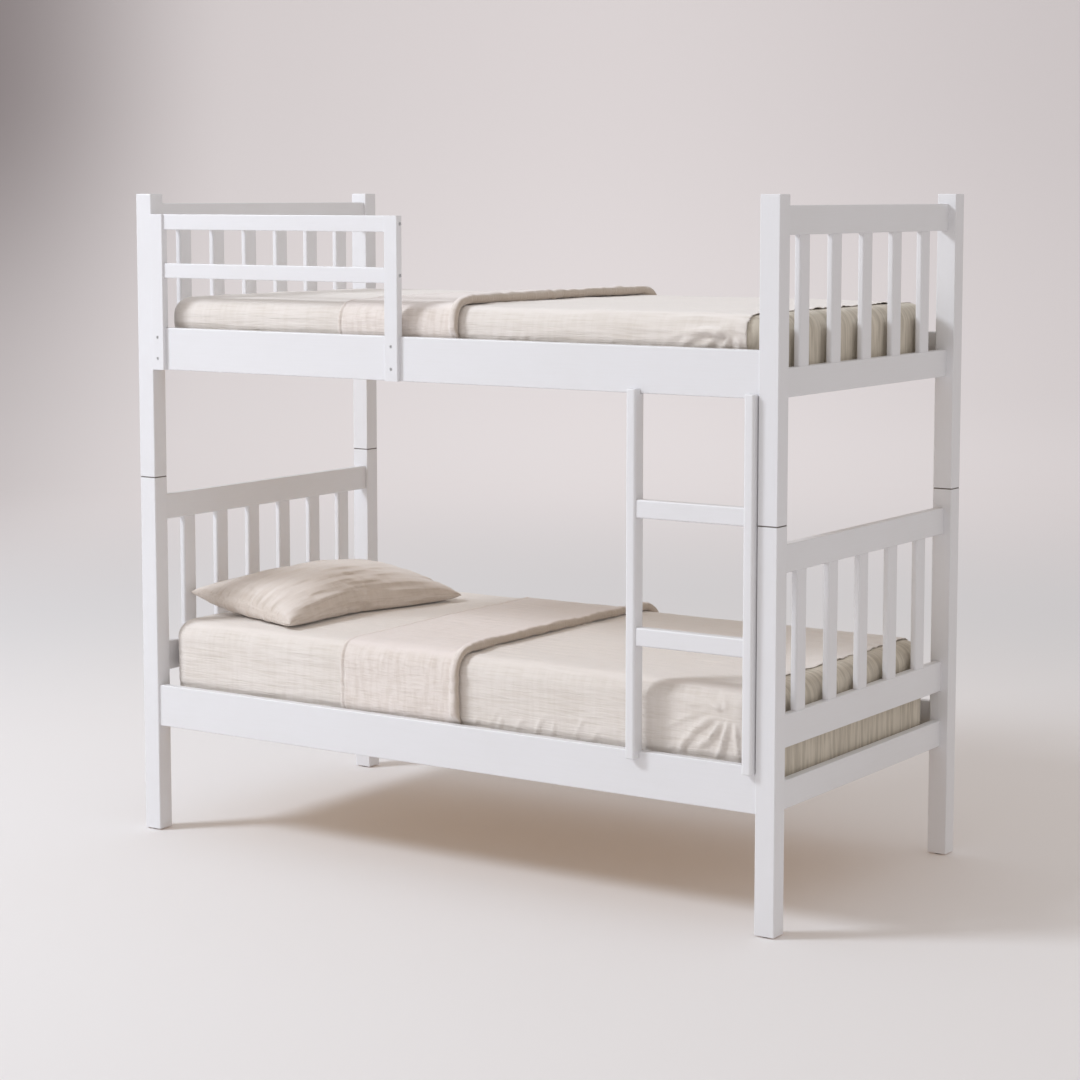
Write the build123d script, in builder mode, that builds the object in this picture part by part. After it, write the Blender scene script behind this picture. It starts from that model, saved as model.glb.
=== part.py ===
from build123d import *

import os
from dataclasses import dataclass

# Two stacked single beds with a guard rail and a ladder, in painted wood.
# Frame: X runs along the bed, Y across it with the front at -Y, Z up.
# The origin is on the floor, under the middle of the bed. All sizes are in millimetres.

# ---------------------------------------------------------------- overall sizes
bed_length = 2000.0
bed_width = 1010.0
lower_post_top = 992.0  # floor to the joint between the two beds
upper_post_height = 778.0

# ---------------------------------------------------------------- posts
post_width = 54.0  # along X
post_depth = 50.0  # along Y
post_edge = 3.0
post_end_edge = 2.6

glide_height = 3.0
glide_radius = 18.0

stacking_pin_radius = 6.0
stacking_pin_length = 90.0
stacking_pin_clearance = 0.3
stacking_pin_chamfer = 1.5

# ---------------------------------------------------------------- end frames
end_rail_thickness = 24.0
end_rail_recess = 22.0  # outer face of an end rail, in from the outer face of its posts
end_rail_height = 70.0
end_rail_edge = 3.0
mid_rail_height = 80.0
mid_rail_gap = 80.0  # between the lowest rail and the rail under the slats
lower_top_rail_drop = 51.0  # post top down to rail top
upper_top_rail_drop = 26.0

end_slat_width = 50.0
end_slat_thickness = 18.0
end_slat_edge = 6.0
end_slat_tenon = 10.0
end_slats_left = 6
end_slats_right = 5

dowel_radius = 4.0
dowel_length = 50.0
dowel_pitch = 36.0

# ---------------------------------------------------------------- side rails and base
side_rail_thickness = 24.0
side_rail_recess = 6.0  # front face of a side rail, back from the front face of its posts
side_rail_height = 115.0
side_rail_edge = 3.0
lower_side_rail_bottom = 297.0
upper_side_rail_rise = 299.0  # from the joint between the beds to the rail's underside

ledger_height = 28.0
ledger_depth = 24.0
ledger_rise = 5.0  # above the underside of the side rail
ledger_end_gap = 2.0

base_slat_count = 13
base_slat_width = 70.0
base_slat_thickness = 16.0
base_slat_side_gap = 2.0
base_slat_end_gap = 6.0  # first slat, in from the posts
base_slat_edge = 2.0

# ---------------------------------------------------------------- bed brackets and screws
bracket_thickness = 2.5
bracket_width = 18.0
bracket_height = 92.0
bracket_slot_width = 4.0
hook_width = 3.0
hook_height = 20.0
hook_reach = 11.0
hook_drop = 5.0
hook_spacing = 36.0  # from one hook's seat to the next
hook_pocket_clearance = 1.5
bracket_screw_offset = 39.0  # from the middle of the bracket

screw_radius = 2.0
screw_head_radius = 4.0
screw_head_height = 2.2
screw_length = 40.0
screw_tip_length = 4.0
ledger_screw_step = 2  # one ledger screw in every second gap between base slats

# ---------------------------------------------------------------- guard
guard_length = 839.0
guard_post_gap = 1.0
guard_top_above_rail = 309.0
guard_stile_width = 42.0
guard_stile_thickness = 22.0
guard_lap_thickness = 11.0  # what is left of the stile in front of the side rail
guard_edge = 2.5
guard_stile_top_edge = 1.2
guard_rail_thickness = 16.0
guard_top_rail_height = 42.0
guard_mid_rail_height = 40.0
guard_mid_rail_rise = 136.0  # above the top of the side rail
guard_screw_drops = (26.0, 84.0)  # below the top of the side rail
guard_screw_radius = 2.25
guard_screw_head_radius = 4.5
guard_screw_head_height = 2.5
guard_screw_length = 30.0
guard_screw_recess_depth = 1.2  # cross recess in the head
guard_screw_recess_length = 5.0
guard_screw_recess_width = 1.2
guard_bolt_radius = 3.5
guard_bolt_length = 60.0
guard_bolt_head_radius = 5.0
guard_bolt_head_height = 3.0
guard_bolt_sink = 7.0  # bottom of the head, below the face of the stile
guard_bolt_socket_radius = 2.0
guard_bolt_socket_depth = 2.4

# ---------------------------------------------------------------- ladder
ladder_width = 354.0
ladder_post_gap = 2.0
ladder_stile_width = 28.0
ladder_stile_depth = 42.0
ladder_stile_proud = 23.0  # how far a stile stands in front of the side rails
ladder_stile_edge = 7.0
ladder_stile_end_edge = 3.5
ladder_lower_lap = 18.0  # down over the lower side rail
ladder_upper_lap = 12.0  # up over the upper side rail
ladder_lap_clearance = 0.4
ladder_top_clearance = 0.6
rung_height = 46.0
rung_depth = 26.0
rung_edge = 5.0
rung_front_recess = 5.0
rung_first_rise = 309.0  # top of the lower rung, above the top of the lower side rail
rung_pitch = 314.0
rung_dowel_pitch = 23.0
ladder_pin_radius = 3.0
ladder_pin_length = 32.0
ladder_pin_clearance = 0.2
ladder_pin_rise = 9.0  # above the lower end of the stile

# ---------------------------------------------------------------- bedding
mattress_end_gap = 6.0  # to the end rails
mattress_side_gap = 10.0  # to the side rails, room for the bedclothes
mattress_corner = 60.0
mattress_edge = 24.0
lower_mattress_thickness = 244.0
upper_mattress_thickness = 150.0

coverlet_left = -330.0
coverlet_right = 66.0
coverlet_thickness = 7.0
coverlet_gap = 0.5
coverlet_tuck = 10.0  # how far it hangs below the top of the side rail

pillow_width = 460.0  # along X
pillow_length = 700.0  # along Y
pillow_thickness = 136.0
pillow_end_gap = 12.0  # from the end frame
pillow_offset = -45.0  # middle of the pillow from the middle of the bed, along Y
pillow_top_edge = 55.0
pillow_bottom_edge = 27.0
pillow_corner = 90.0

# ---------------------------------------------------------------- worked-out places
post_inner_x = bed_length / 2 - post_width
post_inner_y = bed_width / 2 - post_depth
post_x = bed_length / 2 - post_width / 2
post_y = bed_width / 2 - post_depth / 2

end_rail_outer_x = bed_length / 2 - end_rail_recess
end_rail_inner_x = end_rail_outer_x - end_rail_thickness
end_rail_x = (end_rail_outer_x + end_rail_inner_x) / 2

side_rail_front_y = bed_width / 2 - side_rail_recess
side_rail_inner_y = side_rail_front_y - side_rail_thickness
side_rail_y = (side_rail_front_y + side_rail_inner_y) / 2
ledger_y = side_rail_inner_y - ledger_depth / 2

bracket_x = post_inner_x  # where a rail's end meets its post
slat_run = 2 * (post_inner_x - base_slat_end_gap - base_slat_width / 2)
base_slat_pitch = slat_run / (base_slat_count - 1)
base_slat_xs = [base_slat_pitch * (i - (base_slat_count - 1) / 2) for i in range(base_slat_count)]
ledger_screw_xs = [x + base_slat_pitch / 2 for x in base_slat_xs[:-1:ledger_screw_step]]


@dataclass(frozen=True)
class Tier:
    """Heights of one bed. Each pair in rails is the lower and upper edge of an end rail."""

    name: str
    foot: float
    top: float
    side_rail_bottom: float
    rails: dict

    @property
    def side_rail_top(self) -> float:
        return self.side_rail_bottom + side_rail_height

    @property
    def side_rail_z(self) -> float:
        return self.side_rail_bottom + side_rail_height / 2

    @property
    def ledger_bottom(self) -> float:
        return self.side_rail_bottom + ledger_rise

    @property
    def base_bottom(self) -> float:
        return self.ledger_bottom + ledger_height

    @property
    def mattress_bottom(self) -> float:
        return self.base_bottom + base_slat_thickness

    @property
    def slat_span(self) -> tuple:
        below = "mid_rail" if "mid_rail" in self.rails else "low_rail"
        return self.rails[below][1], self.rails["top_rail"][0]


lower_low_rail_top = lower_side_rail_bottom + end_rail_height
lower_mid_rail_bottom = lower_low_rail_top + mid_rail_gap
lower_top_rail_top = lower_post_top - lower_top_rail_drop
lower = Tier(
    "lower",
    glide_height,
    lower_post_top,
    lower_side_rail_bottom,
    {
        "low_rail": (lower_side_rail_bottom, lower_low_rail_top),
        "mid_rail": (lower_mid_rail_bottom, lower_mid_rail_bottom + mid_rail_height),
        "top_rail": (lower_top_rail_top - end_rail_height, lower_top_rail_top),
    },
)

upper_side_rail_bottom = lower_post_top + upper_side_rail_rise
upper_post_top = lower_post_top + upper_post_height
upper_top_rail_top = upper_post_top - upper_top_rail_drop
upper = Tier(
    "upper",
    lower_post_top,
    upper_post_top,
    upper_side_rail_bottom,
    {
        "low_rail": (upper_side_rail_bottom, upper_side_rail_bottom + end_rail_height),
        "top_rail": (upper_top_rail_top - end_rail_height, upper_top_rail_top),
    },
)

ends = {"left": -1, "right": 1}
sides = {"front": -1, "rear": 1}
slats_at = {"left": end_slats_left, "right": end_slats_right}


def save(piece, name):
    """Label a finished piece and write it under its node name."""
    piece.part.label = name
    export_step(piece.part, f"parts/{name}.step")


# ---------------------------------------------------------------- fasteners, used as cutters too
def screw_shape(radius, length, head_radius, head_height, tip_length):
    """Countersunk screw with its head's flat face at the origin, pointing along -Z."""
    with BuildPart() as screw:
        with BuildSketch(Plane.XZ):
            with BuildLine():
                Polyline(
                    (0, 0),
                    (head_radius, 0),
                    (radius, -head_height),
                    (radius, -length + tip_length),
                    (0, -length),
                    close=True,
                )
            make_face()
        revolve(axis=Axis.Z)
    return screw.part


wood_screw = screw_shape(screw_radius, screw_length, screw_head_radius, screw_head_height, screw_tip_length)


def dowel_places(tier, end, side):
    """Middles of the dowels where one end frame's rails meet the post on one side."""
    return [
        (end * end_rail_x, side * post_inner_y, (bottom + top) / 2 + shift)
        for bottom, top in tier.rails.values()
        for shift in (-dowel_pitch / 2, dowel_pitch / 2)
    ]


def across_bed(place):
    """Location at a point with its Z axis along the bed's Y axis."""
    return Plane(origin=place, x_dir=(1, 0, 0), z_dir=(0, 1, 0)).location


def along_bed(place, sign):
    """Location at a point with its Z axis along X, pointing to the end given by sign."""
    return Plane(origin=place, x_dir=(0, 1, 0), z_dir=(sign, 0, 0)).location


def slat_screw_places(tier, side):
    """Heads of the screws that hold the base slats to one ledger, pointing down."""
    return [Location((x, side * ledger_y, tier.mattress_bottom)) for x in base_slat_xs]


def ledger_screw_places(tier, side):
    """Heads of the screws that hold one ledger to its side rail, pointing outwards."""
    height = tier.ledger_bottom + ledger_height / 2
    face_y = side * (side_rail_inner_y - ledger_depth)
    return [
        Plane(origin=(x, face_y, height), x_dir=(1, 0, 0), z_dir=(0, -side, 0)).location
        for x in ledger_screw_xs
    ]


def bracket_screw_places(tier, end, side, into_post):
    """Heads of the two screws of one bracket plate, pointing into the post or into the rail."""
    direction = -end if into_post else end
    return [
        along_bed((end * bracket_x, side * side_rail_y, tier.side_rail_z + shift), direction)
        for shift in (-bracket_screw_offset, bracket_screw_offset)
    ]


def hook_seats(tier):
    """Heights of the undersides of the two hooks of a bracket."""
    middle = tier.side_rail_z - hook_height / 2
    return [middle - hook_spacing / 2, middle + hook_spacing / 2]


# ---------------------------------------------------------------- posts
def make_post(tier, end, side):
    """Rectangular post, bored for its stacking pin, dowels and bed bracket."""
    centre_z = (tier.foot + tier.top) / 2
    joint_face = tier.top if tier is lower else tier.foot
    bore_depth = stacking_pin_length / 2
    bore_radius = stacking_pin_radius
    if tier is upper:
        bore_radius += stacking_pin_clearance
        bore_depth += stacking_pin_clearance
    bore_shift = -bore_depth / 2 if tier is lower else bore_depth / 2
    plate_x = end * (bracket_x + bracket_thickness / 2)
    pocket_depth = hook_reach + hook_pocket_clearance
    with BuildPart() as post:
        with Locations((end * post_x, side * post_y, centre_z)):
            Box(post_width, post_depth, tier.top - tier.foot)
        fillet(post.edges().filter_by(Axis.Z), post_edge)
        fillet(post.faces().filter_by(Axis.Z).edges(), post_end_edge)
        with Locations((end * post_x, side * post_y, joint_face + bore_shift)):
            Cylinder(bore_radius, bore_depth, mode=Mode.SUBTRACT)
        with Locations(*[across_bed(place) for place in dowel_places(tier, end, side)]):
            Cylinder(dowel_radius, dowel_length, mode=Mode.SUBTRACT)
        with Locations((plate_x, side * side_rail_y, tier.side_rail_z)):
            Box(bracket_thickness, bracket_width, bracket_height, mode=Mode.SUBTRACT)
        for seat in hook_seats(tier):
            low = seat - hook_drop - hook_pocket_clearance
            high = seat + hook_height + hook_drop + hook_pocket_clearance
            pocket_x = end * (bracket_x + pocket_depth / 2)
            with Locations((pocket_x, side * side_rail_y, (low + high) / 2)):
                Box(pocket_depth, bracket_slot_width, high - low, mode=Mode.SUBTRACT)
        with Locations(*bracket_screw_places(tier, end, side, into_post=True)):
            add(wood_screw, mode=Mode.SUBTRACT)
    return post


def make_stacking_pins():
    """Four steel pins, half in the lower posts and half standing up into the upper ones."""
    with BuildPart() as pins:
        with GridLocations(2 * post_x, 2 * post_y, 2, 2):
            with Locations((0, 0, lower_post_top)):
                Cylinder(stacking_pin_radius, stacking_pin_length)
        chamfer(pins.edges().group_by(Axis.Z)[-1], stacking_pin_chamfer)
    return pins


def make_glides():
    """Thin round floor glides under the four lower posts."""
    with BuildPart() as glides:
        with BuildSketch():
            with GridLocations(2 * post_x, 2 * post_y, 2, 2):
                Circle(glide_radius)
        extrude(amount=glide_height)
    return glides


# ---------------------------------------------------------------- end frames
def end_slat_ys(count):
    """Middles of the upright slats of an end frame, evenly spaced between its posts."""
    pitch = 2 * post_inner_y / (count + 0.5)
    return [pitch * (i - (count - 1) / 2) for i in range(count)]


def make_end_slats(tier, end_name):
    """The upright slats of one end frame, as separate solids, with their tenons."""
    low, high = tier.slat_span
    middles = [(ends[end_name] * end_rail_x, y) for y in end_slat_ys(slats_at[end_name])]
    with BuildPart() as slats:
        with BuildSketch(Plane.XY.offset(low - end_slat_tenon)):
            with Locations(*middles):
                RectangleRounded(end_slat_thickness, end_slat_width, end_slat_edge)
        extrude(amount=high - low + 2 * end_slat_tenon)
    return slats


def make_end_rail(tier, end_name, rail_name, slats):
    """Rail between the two posts of an end, mortised for the slats and bored for dowels."""
    end = ends[end_name]
    bottom, top = tier.rails[rail_name]
    with BuildPart() as rail:
        with Locations((end * end_rail_x, 0, (bottom + top) / 2)):
            Box(end_rail_thickness, 2 * post_inner_y, top - bottom)
        fillet(rail.edges().filter_by(Axis.Y), end_rail_edge)
        if bottom in tier.slat_span or top in tier.slat_span:
            add(slats.part, mode=Mode.SUBTRACT)
        for side in sides.values():
            places = [place for place in dowel_places(tier, end, side) if bottom < place[2] < top]
            with Locations(*[across_bed(place) for place in places]):
                Cylinder(dowel_radius, dowel_length, mode=Mode.SUBTRACT)
    return rail


def make_dowels(tier):
    """All the dowels between the end rails and the posts of one bed."""
    with BuildPart() as dowels:
        for end in ends.values():
            for side in sides.values():
                with Locations(*[across_bed(place) for place in dowel_places(tier, end, side)]):
                    Cylinder(dowel_radius, dowel_length)
    return dowels


# ---------------------------------------------------------------- side rails, ledgers, base slats
def make_side_rail(tier, side, ladder_pins=None):
    """Side rail between two posts, let in for the bracket plates at its ends."""
    with BuildPart() as rail:
        with Locations((0, side * side_rail_y, tier.side_rail_z)):
            Box(2 * post_inner_x, side_rail_thickness, side_rail_height)
        fillet(rail.edges().filter_by(Axis.X), side_rail_edge)
        for end in ends.values():
            plate_x = end * (bracket_x - bracket_thickness / 2)
            with Locations((plate_x, side * side_rail_y, tier.side_rail_z)):
                Box(bracket_thickness, bracket_width, bracket_height, mode=Mode.SUBTRACT)
            with Locations(*bracket_screw_places(tier, end, side, into_post=False)):
                add(wood_screw, mode=Mode.SUBTRACT)
        with Locations(*ledger_screw_places(tier, side)):
            add(wood_screw, mode=Mode.SUBTRACT)
        if side == sides["front"] and tier is upper:
            with Locations(*guard_screw_places()):
                add(guard_screw, mode=Mode.SUBTRACT)
        if ladder_pins:
            add(ladder_pins.part, mode=Mode.SUBTRACT)
    return rail


def make_ledger(tier, side):
    """Ledger inside a side rail that carries the base slats."""
    with BuildPart() as ledger:
        with Locations((0, side * ledger_y, tier.ledger_bottom + ledger_height / 2)):
            Box(2 * (post_inner_x - ledger_end_gap), ledger_depth, ledger_height)
        with Locations(*slat_screw_places(tier, side), *ledger_screw_places(tier, side)):
            add(wood_screw, mode=Mode.SUBTRACT)
    return ledger


def make_base_slats(tier):
    """Flat slats across the bed, screwed down to both ledgers."""
    with BuildPart() as slats:
        with Locations(*[(x, 0, tier.base_bottom + base_slat_thickness / 2) for x in base_slat_xs]):
            Box(base_slat_width, 2 * (side_rail_inner_y - base_slat_side_gap), base_slat_thickness)
        fillet(slats.edges().filter_by(Axis.Y), base_slat_edge)
        for side in sides.values():
            with Locations(*slat_screw_places(tier, side)):
                add(wood_screw, mode=Mode.SUBTRACT)
    return slats


# ---------------------------------------------------------------- bed brackets and wood screws
def make_rail_hooks(tier):
    """Hooked steel plates let into the ends of the side rails."""
    with BuildPart() as hooks:
        for end in ends.values():
            for side in sides.values():
                plate_x = end * (bracket_x - bracket_thickness / 2)
                with Locations((plate_x, side * side_rail_y, tier.side_rail_z)):
                    Box(bracket_thickness, bracket_width, bracket_height)
                for seat in hook_seats(tier):
                    profile_plane = Plane.XZ.offset(-side * side_rail_y)
                    nose = end * (bracket_x + bracket_thickness)
                    face = end * bracket_x
                    tip = end * (bracket_x + hook_reach)
                    with BuildSketch(profile_plane):
                        with BuildLine():
                            Polyline(
                                (face, seat),
                                (nose, seat),
                                (nose, seat - hook_drop),
                                (tip, seat - hook_drop),
                                (tip, seat + hook_height),
                                (face, seat + hook_height),
                                close=True,
                            )
                        make_face()
                    extrude(amount=hook_width / 2, both=True)
                with Locations(*bracket_screw_places(tier, end, side, into_post=False)):
                    add(wood_screw, mode=Mode.SUBTRACT)
    return hooks


def make_post_plates(tier):
    """Slotted steel plates let into the posts, which the hooks drop into."""
    with BuildPart() as plates:
        for end in ends.values():
            for side in sides.values():
                plate_x = end * (bracket_x + bracket_thickness / 2)
                with Locations((plate_x, side * side_rail_y, tier.side_rail_z)):
                    Box(bracket_thickness, bracket_width, bracket_height)
                slot_height = hook_height + hook_drop
                for seat in hook_seats(tier):
                    with Locations((plate_x, side * side_rail_y, seat + slot_height / 2)):
                        Box(bracket_thickness, bracket_slot_width, slot_height, mode=Mode.SUBTRACT)
                with Locations(*bracket_screw_places(tier, end, side, into_post=True)):
                    add(wood_screw, mode=Mode.SUBTRACT)
    return plates


def make_wood_screws(tier):
    """The equal countersunk screws of one bed's slats, ledgers and brackets."""
    places = []
    for side in sides.values():
        places += slat_screw_places(tier, side) + ledger_screw_places(tier, side)
        for end in ends.values():
            places += bracket_screw_places(tier, end, side, into_post=True)
            places += bracket_screw_places(tier, end, side, into_post=False)
    with BuildPart() as screws:
        with Locations(*places):
            add(wood_screw)
    return screws


# ---------------------------------------------------------------- guard
guard_left_x = -post_inner_x + guard_post_gap
guard_right_x = guard_left_x + guard_length
guard_front_y = -(side_rail_front_y + guard_lap_thickness)
guard_back_y = guard_front_y + guard_stile_thickness
guard_top = upper.side_rail_top + guard_top_above_rail
guard_stile_xs = {
    "left": guard_left_x + guard_stile_width / 2,
    "right": guard_right_x - guard_stile_width / 2,
}
guard_mid_bottom = upper.side_rail_top + guard_mid_rail_rise
guard_rails = {
    "top": (guard_top - guard_top_rail_height, guard_top),
    "mid": (guard_mid_bottom, guard_mid_bottom + guard_mid_rail_height),
}
guard_rail_y = guard_back_y - guard_rail_thickness / 2

guard_screw = screw_shape(
    guard_screw_radius, guard_screw_length, guard_screw_head_radius, guard_screw_head_height, screw_tip_length
)


def guard_screw_places():
    """Heads of the screws through the guard's stiles into the upper side rail."""
    return [
        Plane(
            origin=(x, guard_front_y, upper.side_rail_top - drop), x_dir=(1, 0, 0), z_dir=(0, -1, 0)
        ).location
        for x in guard_stile_xs.values()
        for drop in guard_screw_drops
    ]


def guard_bolt_shape():
    """Connector bolt with a flat head and a socket. Its head bears at the origin, and it points along -Z."""
    with BuildPart() as bolt:
        with BuildSketch(Plane.XZ):
            with BuildLine():
                Polyline(
                    (0, guard_bolt_head_height),
                    (guard_bolt_head_radius, guard_bolt_head_height),
                    (guard_bolt_head_radius, 0),
                    (guard_bolt_radius, 0),
                    (guard_bolt_radius, -guard_bolt_length + guard_bolt_radius),
                    (0, -guard_bolt_length),
                    close=True,
                )
            make_face()
        revolve(axis=Axis.Z)
    return bolt.part


guard_bolt = guard_bolt_shape()


def guard_bolt_places():
    """Seats of the bolts that draw each stile onto the ends of the guard's rails."""
    left_seat = guard_left_x + guard_bolt_sink
    right_seat = guard_right_x - guard_bolt_sink
    places = []
    for bottom, top in guard_rails.values():
        middle = (bottom + top) / 2
        places.append(along_bed((left_seat, guard_rail_y, middle), -1))
        places.append(along_bed((right_seat, guard_rail_y, middle), 1))
    return places


def make_guard_stile(name):
    """Upright of the guard, thinned where it laps over the side rail."""
    x = guard_stile_xs[name]
    height = guard_top - upper.side_rail_bottom
    with BuildPart() as stile:
        with Locations((x, (guard_front_y + guard_back_y) / 2, upper.side_rail_bottom + height / 2)):
            Box(guard_stile_width, guard_stile_thickness, height)
        fillet(stile.edges().filter_by(Axis.Z), guard_edge)
        fillet(stile.faces().sort_by(Axis.Z)[-1].edges(), guard_stile_top_edge)
        with Locations((x, guard_back_y, upper.side_rail_z)):
            Box(
                guard_stile_width,
                2 * (guard_stile_thickness - guard_lap_thickness),
                side_rail_height,
                mode=Mode.SUBTRACT,
            )
        with Locations(*guard_screw_places()):
            add(guard_screw, mode=Mode.SUBTRACT)
        with Locations(*guard_bolt_places()):
            add(guard_bolt, mode=Mode.SUBTRACT)
            counterbore_height = guard_bolt_sink - guard_bolt_head_height
            with Locations((0, 0, guard_bolt_head_height + counterbore_height / 2)):
                Cylinder(guard_bolt_head_radius, counterbore_height, mode=Mode.SUBTRACT)
    return stile


def make_guard_rail(name):
    """Rail between the two stiles of the guard."""
    bottom, top = guard_rails[name]
    length = guard_length - 2 * guard_stile_width
    with BuildPart() as rail:
        with Locations(((guard_left_x + guard_right_x) / 2, guard_rail_y, (bottom + top) / 2)):
            Box(length, guard_rail_thickness, top - bottom)
        fillet(rail.edges().filter_by(Axis.X), guard_edge)
        with Locations(*guard_bolt_places()):
            add(guard_bolt, mode=Mode.SUBTRACT)
    return rail


def make_guard_screws():
    """The four screws that hold the guard, with a cross recess in each head."""
    length, width, depth = guard_screw_recess_length, guard_screw_recess_width, guard_screw_recess_depth
    with BuildPart() as screws:
        with Locations(*guard_screw_places()):
            add(guard_screw)
            with Locations((0, 0, -depth / 2)):
                Box(length, width, depth, mode=Mode.SUBTRACT)
                Box(width, length, depth, mode=Mode.SUBTRACT)
    return screws


def make_guard_bolts():
    """The four connector bolts in the ends of the guard's rails."""
    with BuildPart() as bolts:
        with Locations(*guard_bolt_places()):
            add(guard_bolt)
            with Locations((0, 0, guard_bolt_head_height - guard_bolt_socket_depth / 2)):
                with BuildSketch():
                    RegularPolygon(guard_bolt_socket_radius, 6)
                extrude(amount=guard_bolt_socket_depth / 2, both=True, mode=Mode.SUBTRACT)
    return bolts


# ---------------------------------------------------------------- ladder
ladder_right_x = post_inner_x - ladder_post_gap
ladder_left_x = ladder_right_x - ladder_width
ladder_front_y = -(side_rail_front_y + ladder_stile_proud)
ladder_stile_y = ladder_front_y + ladder_stile_depth / 2
ladder_stile_xs = {
    "left": ladder_left_x + ladder_stile_width / 2,
    "right": ladder_right_x - ladder_stile_width / 2,
}
ladder_bottom = lower.side_rail_top - ladder_lower_lap
ladder_top = upper.side_rail_bottom + ladder_upper_lap
rung_left_x = ladder_left_x + ladder_stile_width
rung_right_x = ladder_right_x - ladder_stile_width
rung_y = ladder_front_y + rung_front_recess + rung_depth / 2
rung_tops = {
    "lower": lower.side_rail_top + rung_first_rise,
    "upper": lower.side_rail_top + rung_first_rise + rung_pitch,
}


def rung_dowel_places():
    """Middles of the dowels where the rungs meet the ladder's stiles."""
    return [
        along_bed((x, rung_y, top - rung_height / 2 + shift), 1)
        for top in rung_tops.values()
        for x in (rung_left_x, rung_right_x)
        for shift in (-rung_dowel_pitch / 2, rung_dowel_pitch / 2)
    ]


def make_ladder_pins(clearance=0.0):
    """Pins in the lower side rail that the ladder's feet push onto."""
    places = [
        across_bed((x, -side_rail_front_y, ladder_bottom + ladder_pin_rise)) for x in ladder_stile_xs.values()
    ]
    with BuildPart() as pins:
        with Locations(*places):
            Cylinder(ladder_pin_radius + clearance, ladder_pin_length + 2 * clearance)
    return pins


def make_ladder_stile(name):
    """Upright of the ladder. Its back stands between the two side rails, its front laps over both."""
    x = ladder_stile_xs[name]
    height = ladder_top - ladder_bottom
    notch_y = -side_rail_front_y - ladder_lap_clearance
    notch_depth = ladder_stile_depth  # reaches past the back of the stile
    with BuildPart() as stile:
        with Locations((x, ladder_stile_y, (ladder_bottom + ladder_top) / 2)):
            Box(ladder_stile_width, ladder_stile_depth, height)
        fillet(stile.edges().filter_by(Axis.Z), ladder_stile_edge)
        fillet(stile.faces().filter_by(Axis.Z).edges(), ladder_stile_end_edge)
        with Locations((x, notch_y + notch_depth / 2, lower.side_rail_top - side_rail_height / 2)):
            Box(ladder_stile_width, notch_depth, side_rail_height, mode=Mode.SUBTRACT)
        upper_notch_z = upper.side_rail_bottom - ladder_top_clearance + side_rail_height / 2
        with Locations((x, notch_y + notch_depth / 2, upper_notch_z)):
            Box(ladder_stile_width, notch_depth, side_rail_height, mode=Mode.SUBTRACT)
        with Locations(*rung_dowel_places()):
            Cylinder(dowel_radius, ladder_stile_width, mode=Mode.SUBTRACT)
        add(make_ladder_pins(ladder_pin_clearance).part, mode=Mode.SUBTRACT)
    return stile


def make_rung(top):
    """Flat step of the ladder with rounded long edges."""
    length = rung_right_x - rung_left_x
    with BuildPart() as rung:
        with Locations(((rung_left_x + rung_right_x) / 2, rung_y, top - rung_height / 2)):
            Box(length, rung_depth, rung_height)
        fillet(rung.edges().filter_by(Axis.X), rung_edge)
        with Locations(*rung_dowel_places()):
            Cylinder(dowel_radius, ladder_stile_width, mode=Mode.SUBTRACT)
    return rung


def make_rung_dowels():
    """The dowels between the rungs and the ladder's stiles."""
    with BuildPart() as dowels:
        with Locations(*rung_dowel_places()):
            Cylinder(dowel_radius, ladder_stile_width)
    return dowels


# ---------------------------------------------------------------- bedding
mattress_length = 2 * (end_rail_inner_x - mattress_end_gap)
mattress_width = 2 * (side_rail_inner_y - mattress_side_gap)


def make_mattress(tier, thickness):
    """Mattress with rounded corners, lying on the base slats."""
    with BuildPart() as mattress:
        with BuildSketch(Plane.XY.offset(tier.mattress_bottom)):
            RectangleRounded(mattress_length, mattress_width, mattress_corner)
        extrude(amount=thickness)
        fillet(mattress.faces().sort_by(Axis.Z)[-1].edges(), mattress_edge)
    return mattress


def long_block(half_width, bottom, top, edge):
    """Block as long as the coverlet is wide, with its two long upper edges rounded."""
    middle_x = (coverlet_left + coverlet_right) / 2
    with BuildPart() as block:
        with Locations((middle_x, 0, (bottom + top) / 2)):
            Box(coverlet_right - coverlet_left, 2 * half_width, top - bottom)
        fillet(block.faces().sort_by(Axis.Z)[-1].edges().filter_by(Axis.X), edge)
    return block.part


def make_coverlet(tier, thickness):
    """Band of cloth over the mattress, hanging down both its sides to just inside the side rails."""
    inner_half = mattress_width / 2 + coverlet_gap
    inner_top = tier.mattress_bottom + thickness + coverlet_gap
    outer_half = inner_half + coverlet_thickness
    outer_top = inner_top + coverlet_thickness
    hem = tier.side_rail_top - coverlet_tuck
    with BuildPart() as coverlet:
        add(long_block(outer_half, hem, outer_top, mattress_edge + coverlet_thickness))
        add(long_block(inner_half, hem, inner_top, mattress_edge), mode=Mode.SUBTRACT)
    return coverlet


def make_pillow(tier, thickness):
    """Plump pillow lying at the left end of the mattress."""
    bottom = tier.mattress_bottom + thickness
    left = -end_rail_inner_x + pillow_end_gap
    with BuildPart() as pillow:
        with BuildSketch(Plane.XY.offset(bottom)):
            with Locations((left + pillow_width / 2, pillow_offset)):
                RectangleRounded(pillow_width, pillow_length, pillow_corner)
        extrude(amount=pillow_thickness)
        fillet(pillow.faces().sort_by(Axis.Z)[0].edges(), pillow_bottom_edge)
        fillet(pillow.faces().sort_by(Axis.Z)[-1].edges(), pillow_top_edge)
    return pillow


# ---------------------------------------------------------------- build every piece
os.makedirs("parts", exist_ok=True)

pins_in_rail = make_ladder_pins()

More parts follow.
